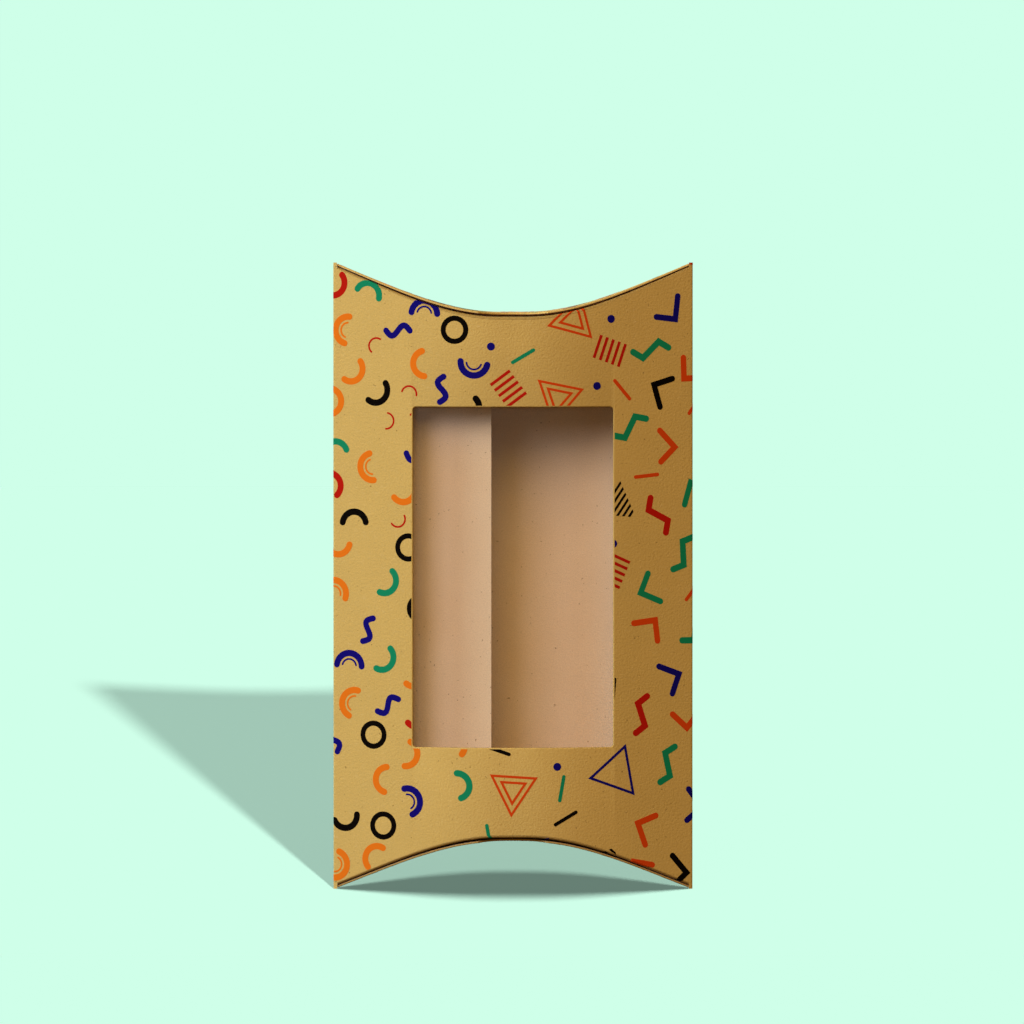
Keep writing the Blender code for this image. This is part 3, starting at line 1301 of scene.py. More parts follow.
@dataclass(frozen=True)
class DriedGlue:
    """Dispersion glue rolled on and dried: milky, half gloss, a little uneven.

    Attributes:
        name: the material's name.
        base: colour of the glue.
        shade: colour of its thicker lumps.
        lump: width of its unevenness, in millimetres.
        relief: height of the lumps.
    """

    name: str
    base: str
    shade: str
    lump: float = 0.8
    relief: float = 0.05 * MM

    def material(self) -> Material:
        """Build the material.

        Returns:
            The material.
        """
        made = new_material(self.name)
        tree = made.node_tree
        place = add(tree, "ShaderNodeTexCoord").outputs["Object"]
        width = {"Scale": 1 / (self.lump * MM), "Detail": 2.0}
        lumps = add(tree, "ShaderNodeTexNoise", width, {"Vector": place}).outputs["Fac"]
        rough = add(tree, "ShaderNodeMapRange", {"To Min": 0.3, "To Max": 0.5}, {"Value": lumps}).outputs[0]
        mixed = add(tree, "ShaderNodeMix", BLEND | {6: linear(self.base), 7: linear(self.shade)}, {0: lumps})
        bump = add(tree, "ShaderNodeBump", {"Strength": 0.4, "Distance": self.relief}, {"Height": lumps})
        looks = {"Base Color": mixed.outputs[2], "Roughness": rough, "Normal": bump.outputs["Normal"]}
        shader = add(tree, "ShaderNodeBsdfPrincipled", {"IOR": 1.48}, looks)
        add(tree, "ShaderNodeOutputMaterial", {}, {"Surface": shader.outputs[0]})
        return made


class Ink(Enum):
    """The printed colours, each as the hex value of its ink on kraft."""

    BLACK = "#060304"
    NAVY = "#0E0872"
    RED = "#B3170D"
    ORANGE = "#E17219"
    VERMILION = "#CF4310"
    GREEN = "#11835F"


Outline = list[list[Pair]]


@dataclass(frozen=True)
class Stroke:
    """A line drawn with a round pen.

    Attributes:
        points: the line's points, in millimetres.
        width: the pen's width, in millimetres.
        closed: whether the line returns to its start.
        capped: whether its ends are round.
        least_mitre: the least cosine that a mitre is worked out with, so that sharp corners stay short.
        cap_steps: how many chords a round end has.
    """

    points: list[Pair]
    width: float
    closed: bool = False
    capped: bool = True
    least_mitre: float = 0.35
    cap_steps: int = 8

    def _sides(self) -> list[tuple[Vector, Vector]]:
        """Widen the line to both sides, with mitred corners.

        Returns:
            The left and the right side at each of its points.
        """
        line = [*self.points, self.points[0]] if self.closed else self.points
        runs = [(Vector(two) - Vector(one)).normalized() for one, two in pairwise(line)]
        first = runs[-1] if self.closed else runs[0]
        sides = []
        for point, arriving, leaving in zip(self.points, [first, *runs], [*runs, runs[-1]]):
            across = (arriving.orthogonal() + leaving.orthogonal()).normalized()
            reach = self.width / 2 / max(self.least_mitre, across.dot(arriving.orthogonal()))
            sides.append((Vector(point) + across * reach, Vector(point) - across * reach))
        return sides

    def _cap(self, left: Vector, right: Vector) -> list[Pair]:
        """Round one end of the line.

        Args:
            left: its side from which the half disc starts.
            right: the side that it turns to.

        Returns:
            The half disc.
        """
        centre = (left + right) / 2
        spoke = left - centre
        disc = []
        for index in range(self.cap_steps + 1):
            angle = -math.pi * index / self.cap_steps
            cosine, sine = math.cos(angle), math.sin(angle)
            x = centre.x + spoke.x * cosine - spoke.y * sine
            y = centre.y + spoke.x * sine + spoke.y * cosine
            disc.append((x, y))
        return disc

    def outline(self) -> Outline:
        """Draw the line.

        Returns:
            Convex polygons that meet corner to corner.
        """
        sides = self._sides()
        line = [*sides, sides[0]] if self.closed else sides
        faces = []
        for (left, right), (left_after, right_after) in pairwise(line):
            faces.append([tuple(left), tuple(right), tuple(right_after), tuple(left_after)])
        if self.capped and not self.closed:
            faces += [self._cap(*sides[-1]), self._cap(*sides[0][::-1])]
        return faces


def arc_points(radius: float, start: float, turn: float, steps: int) -> list[Pair]:
    """Points of an arc round the origin.

    Args:
        radius: of the arc.
        start: angle of its first point, in degrees.
        turn: how far it turns, in degrees.
        steps: how many chords it has.

    Returns:
        The points.
    """
    angles = [math.radians(start + turn * index / steps) for index in range(steps + 1)]
    return [(radius * math.cos(angle), radius * math.sin(angle)) for angle in angles]


def wave_points(length: float, height: float, waves: float, steps: int) -> list[Pair]:
    """Points of a wave along X whose middle is the origin.

    Args:
        length: of the whole wave.
        height: how far it swings to each side.
        waves: how often it does.
        steps: how many chords it has.

    Returns:
        The points.
    """
    points = []
    for index in range(steps + 1):
        share = index / steps
        points.append(((share - 0.5) * length, height * math.sin(2 * math.pi * waves * share)))
    return points


def triangle(side: float, pen: float) -> Outline:
    """An upright triangle with equal sides round the origin, drawn with a pen, in millimetres."""
    return Stroke(arc_points(side / math.sqrt(3), 90, 240, 2), pen, closed=True).outline()


def hatch(side: float, pitch: float, width: float) -> Outline:
    """Stripes that fill an upright triangle.

    Args:
        side: of the triangle, in millimetres.
        pitch: from stripe to stripe.
        width: of a stripe.

    Returns:
        The stripes as polygons.
    """
    top = side / math.sqrt(3)
    height = side * math.sqrt(3) / 2
    faces = []
    for index in range(1, int(height / pitch) + 1):
        drop = pitch * index
        end = min(height, drop + width)
        half, half_after = drop * side / height / 2, end * side / height / 2
        high, low = top - drop, top - end
        faces.append([(-half, high), (-half_after, low), (half_after, low), (half, high)])
    return faces


def stripes(count: int, pitch: float, length: float, width: float) -> Outline:
    """Upright stripes side by side round the origin.

    Args:
        count: how many.
        pitch: from stripe to stripe, in millimetres.
        length: of a stripe.
        width: of a stripe.

    Returns:
        The stripes as polygons.
    """
    faces = []
    for index in range(count):
        across = pitch * (index - count // 2)
        faces += Stroke([(across, -length / 2), (across, length / 2)], width, capped=False).outline()
    return faces


PEN = 1.6  # width of the print's widest lines, in millimetres
FINE_PEN = 0.45  # width of its finest lines


class Motif(Enum):
    """The print's shapes, each as convex polygons round the origin, in millimetres."""

    ARC = Stroke(arc_points(3.2, 0, 160, 16), PEN).outline()
    THIN_ARC = Stroke(arc_points(2.0, 0, 170, 14), FINE_PEN).outline()
    DOUBLE_ARC = [
        *Stroke(arc_points(3.4, 0, 170, 16), PEN).outline(),
        *Stroke(arc_points(1.9, 8, 154, 14), FINE_PEN).outline(),
    ]
    RING = Stroke(arc_points(2.9, 0, 345, 23), 1.3, closed=True).outline()
    WAVE = Stroke(wave_points(6.4, 1.3, 1, 20), 1.5).outline()
    LONG_WAVE = Stroke(wave_points(14, 1.5, 3, 48), 1.4).outline()
    DOT = [arc_points(1.0, 0, 345, 23)]
    DASH = Stroke([(-3.0, 0), (3.0, 0)], 0.9).outline()
    TRIANGLE = triangle(12, 0.65)
    DOUBLE_TRIANGLE = triangle(11, 0.6) + triangle(6, 0.6)
    HATCHED_TRIANGLE = hatch(10.5, 1.35, 0.6)
    STRIPES = stripes(5, 1.7, 6, 0.75)
    ELL = Stroke([(-4.0, -2.4), (1.8, -2.4), (1.8, 2.8)], 1.5).outline()
    ZED = Stroke([(-4.4, 2.0), (-1.4, 2.6), (1.4, -2.6), (4.4, -2.0)], PEN).outline()


@dataclass(frozen=True)
class Zone:
    """A band of the print, over which the motifs of a sequence are scattered.

    Attributes:
        start: distance of the band's left edge from the crown, in millimetres.
        end: distance of its right edge.
        room: area for each motif that is tried, in square millimetres.
        tries: how many places are tried for each motif, which makes the print denser.
        motifs: the sequence.
    """

    start: float
    end: float
    room: float
    tries: int
    motifs: tuple[tuple[Motif, Ink], ...]


ARC_MOTIFS = (
    (Motif.ARC, Ink.GREEN), (Motif.ARC, Ink.ORANGE), (Motif.DOUBLE_ARC, Ink.NAVY), (Motif.THIN_ARC, Ink.RED),
    (Motif.ARC, Ink.RED), (Motif.DOUBLE_ARC, Ink.ORANGE), (Motif.RING, Ink.BLACK), (Motif.WAVE, Ink.NAVY),
    (Motif.ARC, Ink.ORANGE), (Motif.THIN_ARC, Ink.RED), (Motif.ARC, Ink.BLACK),
)
SHAPE_MOTIFS = (
    (Motif.STRIPES, Ink.RED), (Motif.DOT, Ink.NAVY), (Motif.DOUBLE_TRIANGLE, Ink.VERMILION),
    (Motif.DASH, Ink.GREEN), (Motif.TRIANGLE, Ink.NAVY), (Motif.DOT, Ink.NAVY),
    (Motif.HATCHED_TRIANGLE, Ink.BLACK), (Motif.DASH, Ink.BLACK), (Motif.LONG_WAVE, Ink.NAVY),
)
ANGLE_MOTIFS = (
    (Motif.ELL, Ink.VERMILION), (Motif.ZED, Ink.GREEN), (Motif.ELL, Ink.BLACK), (Motif.ZED, Ink.RED),
    (Motif.ELL, Ink.GREEN), (Motif.ELL, Ink.NAVY), (Motif.ZED, Ink.GREEN), (Motif.ELL, Ink.VERMILION),
    (Motif.DASH, Ink.VERMILION),
)


@dataclass
class ConfettiPrint:
    """The print on the board's outside: loose arcs, then shapes, then angles, from left to right."""

    form: BoxForm
    path: BoardPath
    flaps: list[EndFlap]
    lift: float = 0.03 * MM  # how far the ink's face stands over the board's outside
    sink: float = 0.02 * MM  # how far its back lies under it
    weld: float = 0.002 * MM  # distance below which two corners of a motif are one
    closeness: float = 0.0001 * MM  # distance from a line within which a corner lies on it
    seed: int = 11
    bleed: float = 30.0  # how far the print runs past the folds' tips in the flat layout, in millimetres
    spacing: float = 0.5  # least distance between the circles round two motifs, in millimetres
    speck: float = 1.5  # radius up to which a motif keeps its first free place, so that dots don't gather
    zones: tuple[Zone, ...] = (
        Zone(-48.5, -9.0, 104.0, 60, ARC_MOTIFS),
        Zone(-9.0, 27.0, 96.0, 120, SHAPE_MOTIFS),
        Zone(27.0, 48.5, 84.0, 300, ANGLE_MOTIFS),
    )

    def build(self, paper: KraftBoard) -> list[Object]:
        """Print the box.

        Args:
            paper: the sheet that shows through the ink.

        Returns:
            The pieces, one for each ink on the wrap and on each flap that it reaches.
        """
        motifs = self._layout()
        pieces = []
        for ink in Ink:
            name = f"flexo_ink_{ink.name.lower()}"
            material = PrintInk(name, paper.base, paper.fleck, paper.fibre, ink=ink.value).material()
            drawn = [outline for outline, colour in motifs if colour is ink]
            pieces.append(self._print_wrap(ink, drawn, material))
            pieces += [self._print_flap(ink, drawn, flap, material) for flap in self.flaps]
        return [piece for piece in pieces if piece is not None]

    def _layout(self) -> list[tuple[Outline, Ink]]:
        """Place every motif in the flat layout, the front panel's before the back panel's.

        Returns:
            The motifs, in metres.
        """
        dice = random.Random(self.seed)
        taken: list[tuple[Vector, float]] = []
        placed = []
        for side, zone in product((-1, 1), self.zones):
            placed += self._fill(zone, side, dice, taken)
        return placed

    def _fill(
        self, zone: Zone, side: int, dice: random.Random, taken: list[tuple[Vector, float]]
    ) -> list[tuple[Outline, Ink]]:
        """Scatter a zone's motifs over its band of one panel.

        Args:
            zone: the zone.
            side: 1 for the back panel, where left to right runs along the board, -1 for the front.
            dice: the source of chance.
            taken: middle and radius of every motif placed so far, in millimetres, which grows.

        Returns:
            The motifs.
        """
        height = self.form.height / MM + 2 * self.bleed
        placed = []
        for index in range(int((zone.end - zone.start) * height / zone.room)):
            motif, ink = zone.motifs[index % len(zone.motifs)]
            faces, radius = self._turned(motif.value, dice.uniform(0, 2 * math.pi))
            middle = self._free_place(zone, side, radius, dice, taken)
            if middle is None:
                continue
            taken.append((middle, radius))
            outline = [[((middle.x + x) * MM, (middle.y + y) * MM) for x, y in face] for face in faces]
            placed.append((outline, ink))
        return placed

    @staticmethod
    def _turned(faces: Outline, angle: float) -> tuple[Outline, float]:
        """Turn a motif and centre it on its outline.

        Args:
            faces: the motif.
            angle: how far it is turned.

        Returns:
            The turned motif and the radius of the circle round it.
        """
        cosine, sine = math.cos(angle), math.sin(angle)
        turned = [[(x * cosine - y * sine, x * sine + y * cosine) for x, y in face] for face in faces]
        xs = [x for face in turned for x, _ in face]
        ys = [y for face in turned for _, y in face]
        middle = ((min(xs) + max(xs)) / 2, (min(ys) + max(ys)) / 2)
        centred = [[(x - middle[0], y - middle[1]) for x, y in face] for face in turned]
        return centred, max(math.hypot(*point) for face in centred for point in face)

    def _free_place(
        self, zone: Zone, side: int, radius: float, dice: random.Random, taken: list[tuple[Vector, float]]
    ) -> Vector | None:
        """Choose the snuggest of some random places that keep clear of the motifs placed so far.

        Args:
            zone: the zone.
            side: 1 for the back panel, -1 for the front.
            radius: of the circle round the motif.
            dice: the source of chance.
            taken: middle and radius of every motif placed so far.

        Returns:
            The place, or None where all of them are taken.
        """
        height = self.form.height / MM + 2 * self.bleed
        crown = self.path.along_panel(0, side) / MM
        snug, least = None, math.inf
        for _ in range(zone.tries):
            across = crown + side * dice.uniform(zone.start, zone.end)
            place = Vector((across, dice.uniform(0, height) - self.bleed))
            gaps = ((place - other).length - radius - reach for other, reach in taken)
            room = min(gaps, default=self.spacing)
            if self.spacing <= room < least:
                snug, least = place, room if radius > self.speck else self.spacing
        return snug

    def _sheet(self, outline: Outline) -> Solid:
        """Make a flat mesh of a motif.

        Args:
            outline: the motif.

        Returns:
            The mesh, with X along the board and Y up it.
        """
        form = bmesh.new()
        for face in outline:
            form.faces.new([form.verts.new((u, v, 0)) for u, v in face])
        bmesh.ops.remove_doubles(form, verts=form.verts, dist=self.weld)
        return form

    @staticmethod
    def _spread(form: Solid, axis: int) -> tuple[float, float]:
        """The least and the greatest place of a flat mesh on an axis, or 0 and 0 where nothing is left."""
        places = [vertex.co[axis] for vertex in form.verts] or [0.0]
        return min(places), max(places)

    def _slice(self, form: Solid, place: float, axis: int, keep: int = 0) -> None:
        """Cut a flat mesh along a line.

        Args:
            form: the flat mesh.
            place: where the line lies on its axis.
            axis: 0 for a line at a distance along the board, 1 for one at a height.
            keep: 1 to keep only what lies past the line, -1 only what lies before it, 0 both.
        """
        if not form.faces:
            return
        normal = Vector((1, 0, 0)) if axis == 0 else Vector((0, 1, 0))
        bmesh.ops.bisect_plane(
            form,
            geom=[*form.verts, *form.edges, *form.faces],
            dist=self.closeness,
            plane_co=normal * place,
            plane_no=normal,
            clear_outer=keep < 0,
            clear_inner=keep > 0,
        )

    def _slice_across(self, form: Solid, places: Sequence[float], axis: int) -> None:
        """Cut a flat mesh along each of some lines that it crosses.

        Args:
            form: the flat mesh.
            places: where the lines lie on their axis.
            axis: 0 for lines at a distance along the board, 1 for ones at a height.
        """
        low, high = self._spread(form, axis)
        for place in places:
            if low < place < high:
                self._slice(form, place, axis)

    def _slice_at_stations(self, form: Solid) -> None:
        """Cut a flat mesh along the stations, and off at both ends of the printed part of the board.

        Args:
            form: the flat mesh.
        """
        self._slice(form, 0, 0, keep=1)
        self._slice(form, self.path.print_end, 0, keep=-1)
        self._slice_across(form, [one.along for one in self.path.stations], 0)

    def _print_wrap(self, ink: Ink, drawn: list[Outline], material: Material) -> Object:
        """Print one ink on the panels and folds.

        Args:
            ink: the ink.
            drawn: its motifs.
            material: its material.

        Returns:
            The piece.
        """
        solid = bmesh.new()
        layout = solid.loops.layers.uv.new(BLANK_MAP)
        for outline in drawn:
            form = self._sheet(outline)
            self._slice_at_stations(form)
            self._trim(form)
            self._open_window(form)
            self._thicken(solid, layout, form)
            form.free()
        mesh = finished(solid, f"print_{ink.name.lower()}")
        shade(mesh)
        piece = dressed(mesh, [material])
        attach(piece, "root")
        return piece

    def _trim(self, form: Solid) -> None:
        """Cut a flat mesh off at the board's upper and lower end.

        Args:
            form: the flat mesh.
        """
        for top in (True, False):
            if not form.faces:
                return
            low, high = self._spread(form, 1)
            limits = [self.path.limit(vertex.co.x, top) for vertex in form.verts]
            if top and high < min(limits) or not top and low > max(limits):
                continue
            for vertex, limit in zip(form.verts, limits):
                vertex.co.y -= limit
            self._slice(form, 0, 1, keep=-1 if top else 1)
            for vertex in form.verts:
                vertex.co.y += self.path.limit(vertex.co.x, top)

    def _open_window(self, form: Solid) -> None:
        """Remove what would lie across the window.

        Args:
            form: the flat mesh.
        """
        reach = self.form.window_width / 2 + self.form.shoulder
        rise = self.form.window_height / 2 + self.form.shoulder
        sides = [self.path.along_panel(x, -1) for x in (reach, -reach)]
        heights = [self.form.height / 2 - rise, self.form.height / 2 + rise]
        self._slice_across(form, sides, 0)
        self._slice_across(form, heights, 1)
        doomed = []
        for face in form.faces:
            centre = face.calc_center_median()
            if sides[0] < centre.x < sides[1] and heights[0] < centre.y < heights[1]:
                doomed.append(face)
        bmesh.ops.delete(form, geom=doomed, context="FACES")

    def _thicken(self, solid: Solid, layout: Layer, form: Solid) -> None:
        """Add a flat motif to the panels' and folds' print as a thin closed body on the board's outside.

        Args:
            solid: the mesh that takes it.
            layout: its UV map.
            form: the flat motif.
        """
        upper, lower, spots = {}, {}, {}
        for vertex in form.verts:
            if not vertex.link_faces:
                continue
            upper[vertex] = solid.verts.new(self.path.outside(vertex.co.x, vertex.co.y, self.lift))
            lower[vertex] = solid.verts.new(self.path.outside(vertex.co.x, vertex.co.y, -self.sink))
            spots[upper[vertex]] = spots[lower[vertex]] = (vertex.co.x / MM, vertex.co.y / MM)
        made = []
        for face in form.faces:
            made.append(solid.faces.new([upper[vertex] for vertex in face.verts]))
            made.append(solid.faces.new([lower[vertex] for vertex in reversed(face.verts)]))
        for edge in form.edges:
            if len(edge.link_faces) == 1:
                loop = edge.link_loops[0]
                one, two = loop.vert, loop.link_loop_next.vert
                made.append(solid.faces.new((upper[two], upper[one], lower[one], lower[two])))
        for face in made:
            for loop in face.loops:
                loop[layout].uv = spots[loop.vert]
        bmesh.ops.recalc_face_normals(solid, faces=made)

    def _print_flap(self, ink: Ink, drawn: list[Outline], flap: EndFlap, material: Material) -> Object | None:
        """Print one ink on one end flap.

        Args:
            ink: the ink.
            drawn: its motifs.
            flap: the flap.
            material: the ink's material.

        Returns:
            The piece, or None where none of the ink falls on the flap.
        """
        shape = flap.shape
        reach = self.form.flap_reach
        ends = sorted(self.path.along_panel(x, shape.side) for x in (-reach, reach))
        solid = bmesh.new()
        layout = solid.loops.layers.uv.new(BLANK_MAP)
        for outline in drawn:
            us = [u for face in outline for u, _ in face]
            vs = [v for face in outline for _, v in face]
            past = max(vs) > shape.crease(0) if shape.top else min(vs) < self.form.height - shape.crease(0)
            if not past or max(us) < ends[0] or min(us) > ends[1]:
                continue
            form = self._sheet(outline)
            self._slice(form, ends[0], 0, keep=1)
            self._slice(form, ends[1], 0, keep=-1)
            self._slice_at_stations(form)
            self._to_progress(form, flap)
            self._lay(solid, layout, form, flap)
            form.free()
        if not solid.faces:
            solid.free()
            return None
        mesh = finished(solid, f"print_{ink.name.lower()}_{shape.name}")
        mesh.shade_smooth()
        piece = dressed(mesh, [material])
        thicken(piece, self.form.board - self.sink, self.form.board + self.lift)
        flap.hinge(piece)
        return piece

    def _to_progress(self, form: Solid, flap: EndFlap) -> None:
        """Turn heights past a crease into progress over the flap, and cut along the flap's own lines.

        Args:
            form: the flat motif.
            flap: the flap.
        """
        shape, arc = flap.shape, self.form.crease_arc
        for vertex in form.verts:
            x = self.path.across(vertex.co.x)
            height = vertex.co.y if shape.top else self.form.height - vertex.co.y
            past = height - (shape.crease(x) - self.form.crease_radius)
            vertex.co.y = past / arc if past <= arc else 1 + (past - arc) / shape.run(x)
        self._slice(form, 0, 1, keep=1)
        if form.faces:
            shortest = min(shape.run(self.path.across(vertex.co.x)) for vertex in form.verts)
            self._slice(form, 2 - self.form.shoulder / shortest, 1, keep=-1)
        self._slice_across(form, shape.progresses()[1:-1], 1)

    def _lay(self, solid: Solid, layout: Layer, form: Solid, flap: EndFlap) -> None:
        """Add a flat motif to a flap's print, as a sheet on the board's inside that faces outwards.

        Args:
            solid: the mesh that takes it.
            layout: its UV map.
            form: the flat motif, with its progress over the flap as Y.
            flap: the flap.
        """
        form.normal_update()
        made = {}
        for face in form.faces:
            corners = list(face.verts)
            if (face.normal.z > 0) == flap.shape.top:
                corners.reverse()
            for vertex in corners:
                if vertex not in made:
                    made[vertex] = solid.verts.new(self._on_flap(vertex.co.x, vertex.co.y, flap))
            laid = solid.faces.new([made[vertex] for vertex in corners])
            for loop, vertex in zip(laid.loops, corners):
                height = flap.unrolled(self.path.across(vertex.co.x), vertex.co.y)
                loop[layout].uv = (vertex.co.x / MM, height / MM)

    def _on_flap(self, along: float, progress: float, flap: EndFlap) -> Vector:
        """A point of a flap's inside.

        Args:
            along: distance along the board.
            progress: over the flap.
            flap: the flap.

        Returns:
            The point.
        """
        _, one, two, share = self.path.cell(along)
        return flap.shape.place(one.outer.x, progress).lerp(flap.shape.place(two.outer.x, progress), share)


@dataclass(frozen=True)
class Softbox:
    """A round soft light that points at the middle of the box.

    Attributes:
        name: the light's name.
        turn: how far it stands to the left of the camera, in degrees round the box.
        climb: its angle above the horizon, in degrees.
        distance: from the box.
        size: its diameter.
        watts: its power.
        colour: red, green and blue.
    """

    name: str
    turn: float
    climb: float
    distance: float
    size: float
    watts: float
    colour: Triple

    def way(self) -> Vector:
        """Find the direction from the box to the light.

        Returns:
            The direction, with a length of one.
        """
        azimuth, height = math.radians(self.turn), math.radians(self.climb)
        level = math.cos(height)
        return Vector((-math.sin(azimuth) * level, -math.cos(azimuth) * level, math.sin(height)))


@dataclass
class Studio:
    """The pale stage, the lights and the camera.

    The stage is seen only by the camera. It slopes up behind the box, so that the low camera sees the
    shadows that lie on it. Three suns light nothing but the stage.
    """

    form: BoxForm
    backdrop: str = "#CFFFE9"
    sensor: float = 36.0  # width of the camera's sensor, in millimetres
    camera_distance: float = 2.75
    camera_range: Pair = (0.1, 20.0)
    frame_width: float = 256.6 * MM  # what the picture takes in at the box, from side to side
    aim: Triple = (-0.25 * MM, 0.0, 94.5 * MM)
    elevation: float = math.radians(1.65)
    stage_slope: float = math.radians(12)
    stage_reach: float = 420 * MM  # how far the stage runs to each side and to the back
    stage_apron: float = 60 * MM  # how far it runs to the front
    stage_albedo: float = 0.01  # so low that the ambient light doesn't colour it
    cast_share: float = 0.43  # of the stage's light, what the sun of the long shadow gives
    cast_angle: float = math.radians(2.5)  # that sun's apparent size
    contact_share: float = 0.355  # what the suns of the shadow under the box give
    contact_angle: float = math.radians(36)
    contact_lean: float = 0.29  # how far that light runs back for each metre that it falls
    shadow_rise: float = 48 * MM  # how high the long shadow's tip lies in the picture
    shadow_shift: float = -69 * MM  # how far it lies to the side of the corner that casts it
    flag_heights: Pair = (-1 * MM, 7 * MM)
    ambient: Triple = (0.15, 0.09, 0.03)
    gloss: Triple = (0.03, 0.03, 0.03)  # what shiny surfaces mirror of the studio
    softboxes: tuple[Softbox, ...] = (
        Softbox("side_key", 75, 20, 2.0, 1.1, 27.0, (0.72, 1.0, 1.1)),
        Softbox("front_key", 35, 24, 2.0, 1.1, 12.8, (1.0, 1.0, 1.15)),
        Softbox("warm_fill", 5, 40, 2.0, 1.5, 18.8, (1.0, 0.72, 0.28)),
        Softbox("back_left", 145, 25, 2.0, 1.2, 17.0, (0.9, 1.0, 1.1)),
        Softbox("back_right", 205, 30, 2.0, 1.2, 15.0, (1.0, 1.0, 1.0)),
    )

    def build(self) -> None:
        """Set the stage, the lights, the world and the camera."""
        self._camera()
        self._world()
        near, far = self._stage()
        self._flag()
        self._suns(near, far)
        self._soft_lights([near, far])
        bpy.context.scene.view_settings.view_transform = "Standard"

    def _camera(self) -> None:
        """A long lens a little above the middle of the box."""
        data = bpy.data.cameras.new("camera")
        data.sensor_width = self.sensor
        data.lens = self.sensor * self.camera_distance / self.frame_width
        data.clip_start, data.clip_end = self.camera_range
        back = Vector((0, -math.cos(self.elevation), math.sin(self.elevation)))
        camera = put_in_scene("camera", data)
        camera.location = Vector(self.aim) + back * self.camera_distance
        camera.rotation_euler = (-back).to_track_quat("-Z", "Y").to_euler()
        bpy.context.scene.camera = camera

    def _world(self) -> None:
        """The backdrop for the camera and through glass, a dim room for gloss, and the ambient light."""
        world = bpy.data.worlds.new("studio")
        world.use_nodes = True
        tree = world.node_tree
        tree.nodes.clear()
        path = add(tree, "ShaderNodeLightPath").outputs
        direct = {0: path["Is Camera Ray"], 1: path["Is Transmission Ray"]}
        seen = add(tree, "ShaderNodeMath", {"operation": "MAXIMUM"}, direct)
        soft = add(tree, "ShaderNodeBackground", {"Color": (*self.ambient, 1.0)}).outputs[0]
        dim = add(tree, "ShaderNodeBackground", {"Color": (*self.gloss, 1.0)}).outputs[0]
        pale = add(tree, "ShaderNodeBackground", {"Color": linear(self.backdrop)}).outputs[0]
        lit = add(tree, "ShaderNodeMixShader", {}, {0: path["Is Glossy Ray"], 1: soft, 2: dim}).outputs[0]
        mixed = add(tree, "ShaderNodeMixShader", {}, {0: seen.outputs[0], 1: lit, 2: pale})
        add(tree, "ShaderNodeOutputWorld", {}, {"Surface": mixed.outputs[0]})
        bpy.context.scene.world = world

    @staticmethod
    def _plain_sheet(name: str, reach: float, first: Pair, last: Pair) -> Object:
        """Make a flat sheet that belongs to the stage.

        Args:
            name: the sheet's name.
            reach: how far it runs to each side.
            first: Y and Z of one of its long edges.
            last: Y and Z of the other.

        Returns:
            The sheet, which only the camera and shadow rays see.
        """
        mesh = bpy.data.meshes.new(name)
        corners = [(-reach, *first), (reach, *first), (reach, *last), (-reach, *last)]
        mesh.from_pydata(corners, [], [range(len(corners))])
        sheet = put_in_scene(name, mesh)
        sheet.visible_diffuse = sheet.visible_glossy = sheet.visible_transmission = False
        return sheet

    def _stage(self) -> list[Object]:
        """Lay the sloping stage, a sheet before the box's feet and one behind them, of one paper.

        Returns:
            The two sheets.
        """
        paper = self._paper()
        rise = math.tan(self.stage_slope)
        sheets = []
        parts = (("near_stage", -self.stage_apron, 0.0), ("far_stage", 0.0, self.stage_reach))
        for name, start, end in parts:
            sheet = self._plain_sheet(name, self.stage_reach, (start, start * rise), (end, end * rise))
            sheet.visible_shadow = False
            sheet.data.materials.append(paper)
            sheets.append(sheet)
        return sheets

    def _paper(self) -> Material:
        """Make matt paper that glows a little and takes the rest of its light from the suns.

        Returns:
            The material, which is clear from below.
        """
        made = new_material("matt_stage_paper")
        tree = made.node_tree
        pale = linear(self.backdrop)
        dim = (*(self.stage_albedo * part for part in pale[:3]), 1.0)
        matt = add(tree, "ShaderNodeBsdfDiffuse", {"Color": dim}).outputs[0]
        rest = 1 - self.cast_share - self.contact_share
        glow = add(tree, "ShaderNodeEmission", {"Color": pale, "Strength": rest}).outputs[0]
        lit = add(tree, "ShaderNodeAddShader", {}, {0: matt, 1: glow}).outputs[0]
        clear = add(tree, "ShaderNodeBsdfTransparent").outputs[0]
        below = add(tree, "ShaderNodeNewGeometry").outputs["Backfacing"]
        shown = add(tree, "ShaderNodeMixShader", {}, {0: below, 1: lit, 2: clear})
        add(tree, "ShaderNodeOutputMaterial", {}, {"Surface": shown.outputs[0]})
        return made

    def _flag(self) -> None:
        """An unseen plain card that keeps the sun of the long shadow from shining through under the box."""
        low, high = self.flag_heights
        self._plain_sheet("flag", self.form.fold_centre, (0.0, low), (0.0, high)).visible_camera = False

    @staticmethod
    def _collection(name: str, members: Sequence[Object], state: str) -> bpy.types.Collection:
        """Make a collection for light linking.

        Args:
            name: the collection's name.
            members: its members.
            state: INCLUDE or EXCLUDE, for all of them.

        Returns:
            The collection.
        """
        collection = bpy.data.collections.new(name)
        for member in members:
            collection.objects.link(member)
        for entry in collection.collection_objects:
            entry.light_linking.link_state = state
        return collection

    def _light(self, data: bpy.types.Light, way: Vector, linked: Sequence[Object], state: str) -> Object:
        """Put a light in the scene.

        Args:
            data: the light's kind and power.
            way: the direction in which it shines.
            linked: the pieces that its light is linked with.
            state: INCLUDE where it lights only them, EXCLUDE where it lights everything but them.

        Returns:
            The light.
        """
        light = put_in_scene(data.name, data)
        light.rotation_euler = way.to_track_quat("-Z", "Y").to_euler()
        light.light_linking.receiver_collection = self._collection(data.name + "_lights", linked, state)
        return light

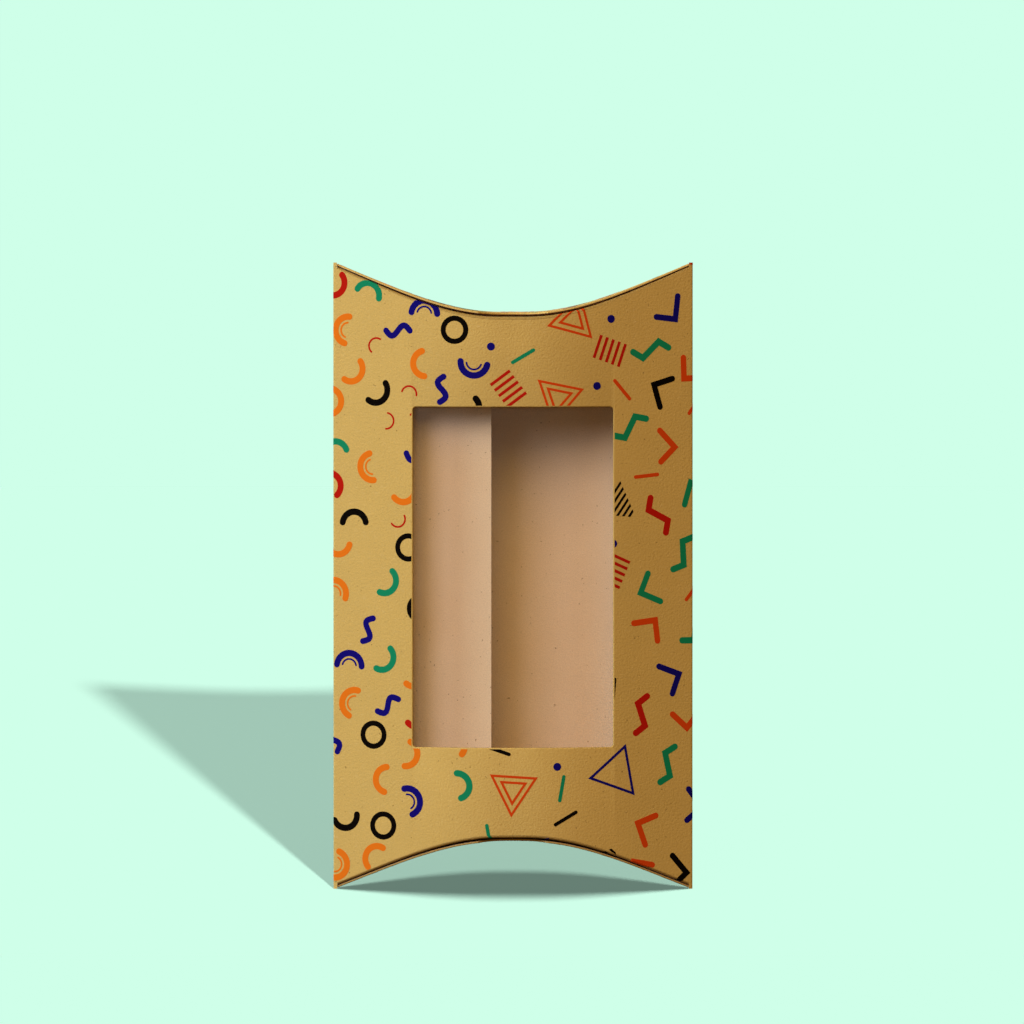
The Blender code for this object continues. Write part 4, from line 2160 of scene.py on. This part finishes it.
    def _suns(self, near: Object, far: Object) -> None:
        """Light the stage with the sun of the long shadow and those whose light the bottom flaps keep off.

        No long shadow falls on the near sheet, so its one sun gives it both shares of the light.

        Args:
            near: the stage's sheet before the box.
            far: the one behind it.
        """
        rise = math.tan(self.stage_slope)
        normal = Vector((0, -math.sin(self.stage_slope), math.cos(self.stage_slope)))
        climb = self.shadow_rise / (rise + math.sin(self.elevation)) * rise
        cast = Vector((self.shadow_shift, climb / rise, climb - self.form.height)).normalized()
        down = Vector((0, self.contact_lean, -1)).normalized()
        flaps = [bpy.data.objects[name + "_board"] for name in ("bottom_outer_flap", "bottom_inner_flap")]
        both = self.cast_share + self.contact_share
        for name, way, share, angle, receiver, blockers in (
            ("cast_sun", cast, self.cast_share, self.cast_angle, far, []),
            ("far_contact_sun", down, self.contact_share, self.contact_angle, far, flaps),
            ("near_contact_sun", down, both, self.contact_angle, near, flaps),
        ):
            data = bpy.data.lights.new(name, "SUN")
            data.angle = angle
            data.energy = share * math.pi / (self.stage_albedo * -way.dot(normal))
            light = self._light(data, way, [receiver], "INCLUDE")
            if blockers:
                shadows = self._collection(name + "_shadows", blockers, "INCLUDE")
                light.light_linking.blocker_collection = shadows

    def _soft_lights(self, stage: Sequence[Object]) -> None:
        """Place the softboxes, which light everything but the stage.

        Args:
            stage: the stage's sheets.
        """
        for box in self.softboxes:
            data = bpy.data.lights.new(box.name, "AREA")
            data.shape = "DISK"
            data.size = box.size
            data.energy = box.watts
            data.color = box.colour
            light = self._light(data, -box.way(), stage, "EXCLUDE")
            light.location = Vector((0, 0, self.form.height / 2)) + box.way() * box.distance


def main() -> None:
    """Build the box piece by piece and set it in its studio."""
    logging.basicConfig(level=logging.INFO, format="%(name)s: %(message)s")
    form = BoxForm.from_frame()
    path = BoardPath(form)
    paper = KraftBoard("uncoated_kraft_board", base="#CCAA63", fleck="#6B4A22", fibre="#DDBF85")
    smoother = {"cloudiness": 0.08, "relief": 0.07 * MM}
    lining = KraftBoard("rolled_kraft_lining", base="#E2C5A8", fleck="#7A5638", fibre="#EAD6BE", **smoother)
    edge = CutBoard("die_cut_kraft_edge", base="#C9A273", shade="#8A6038")
    finishes = BoardFinishes(paper.material(), lining.material(), edge.material())
    pieces = [BoardWrap(form, path).build(finishes)]
    shapes = [
        FlapShape(form, "top_outer_flap", 1, True),
        FlapShape(form, "top_inner_flap", -1, True),
        FlapShape(form, "bottom_outer_flap", 1, False),
        FlapShape(form, "bottom_inner_flap", -1, False),
    ]
    flaps = [EndFlap(shape, path) for shape in shapes]
    pieces += [flap.build(finishes) for flap in flaps]
    pieces.append(WindowFilm(form).build(ClearFilm("cast_clear_film", tint="#F4F6F6").material()))
    glue = DriedGlue("dried_dispersion_glue", base="#D9CDB0", shade="#C9B894").material()
    for node in ("film_glue", "seam_glue"):
        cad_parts[node].data.materials.clear()
        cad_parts[node].data.materials.append(glue)
        LOG.info("%s: dressed", node)
    pieces += ConfettiPrint(form, path, flaps).build(paper)
    for piece in pieces:
        LOG.info("%s: %d faces", piece.name, len(piece.data.polygons))
    Studio(form).build()


if __name__ == "__main__":
    main()
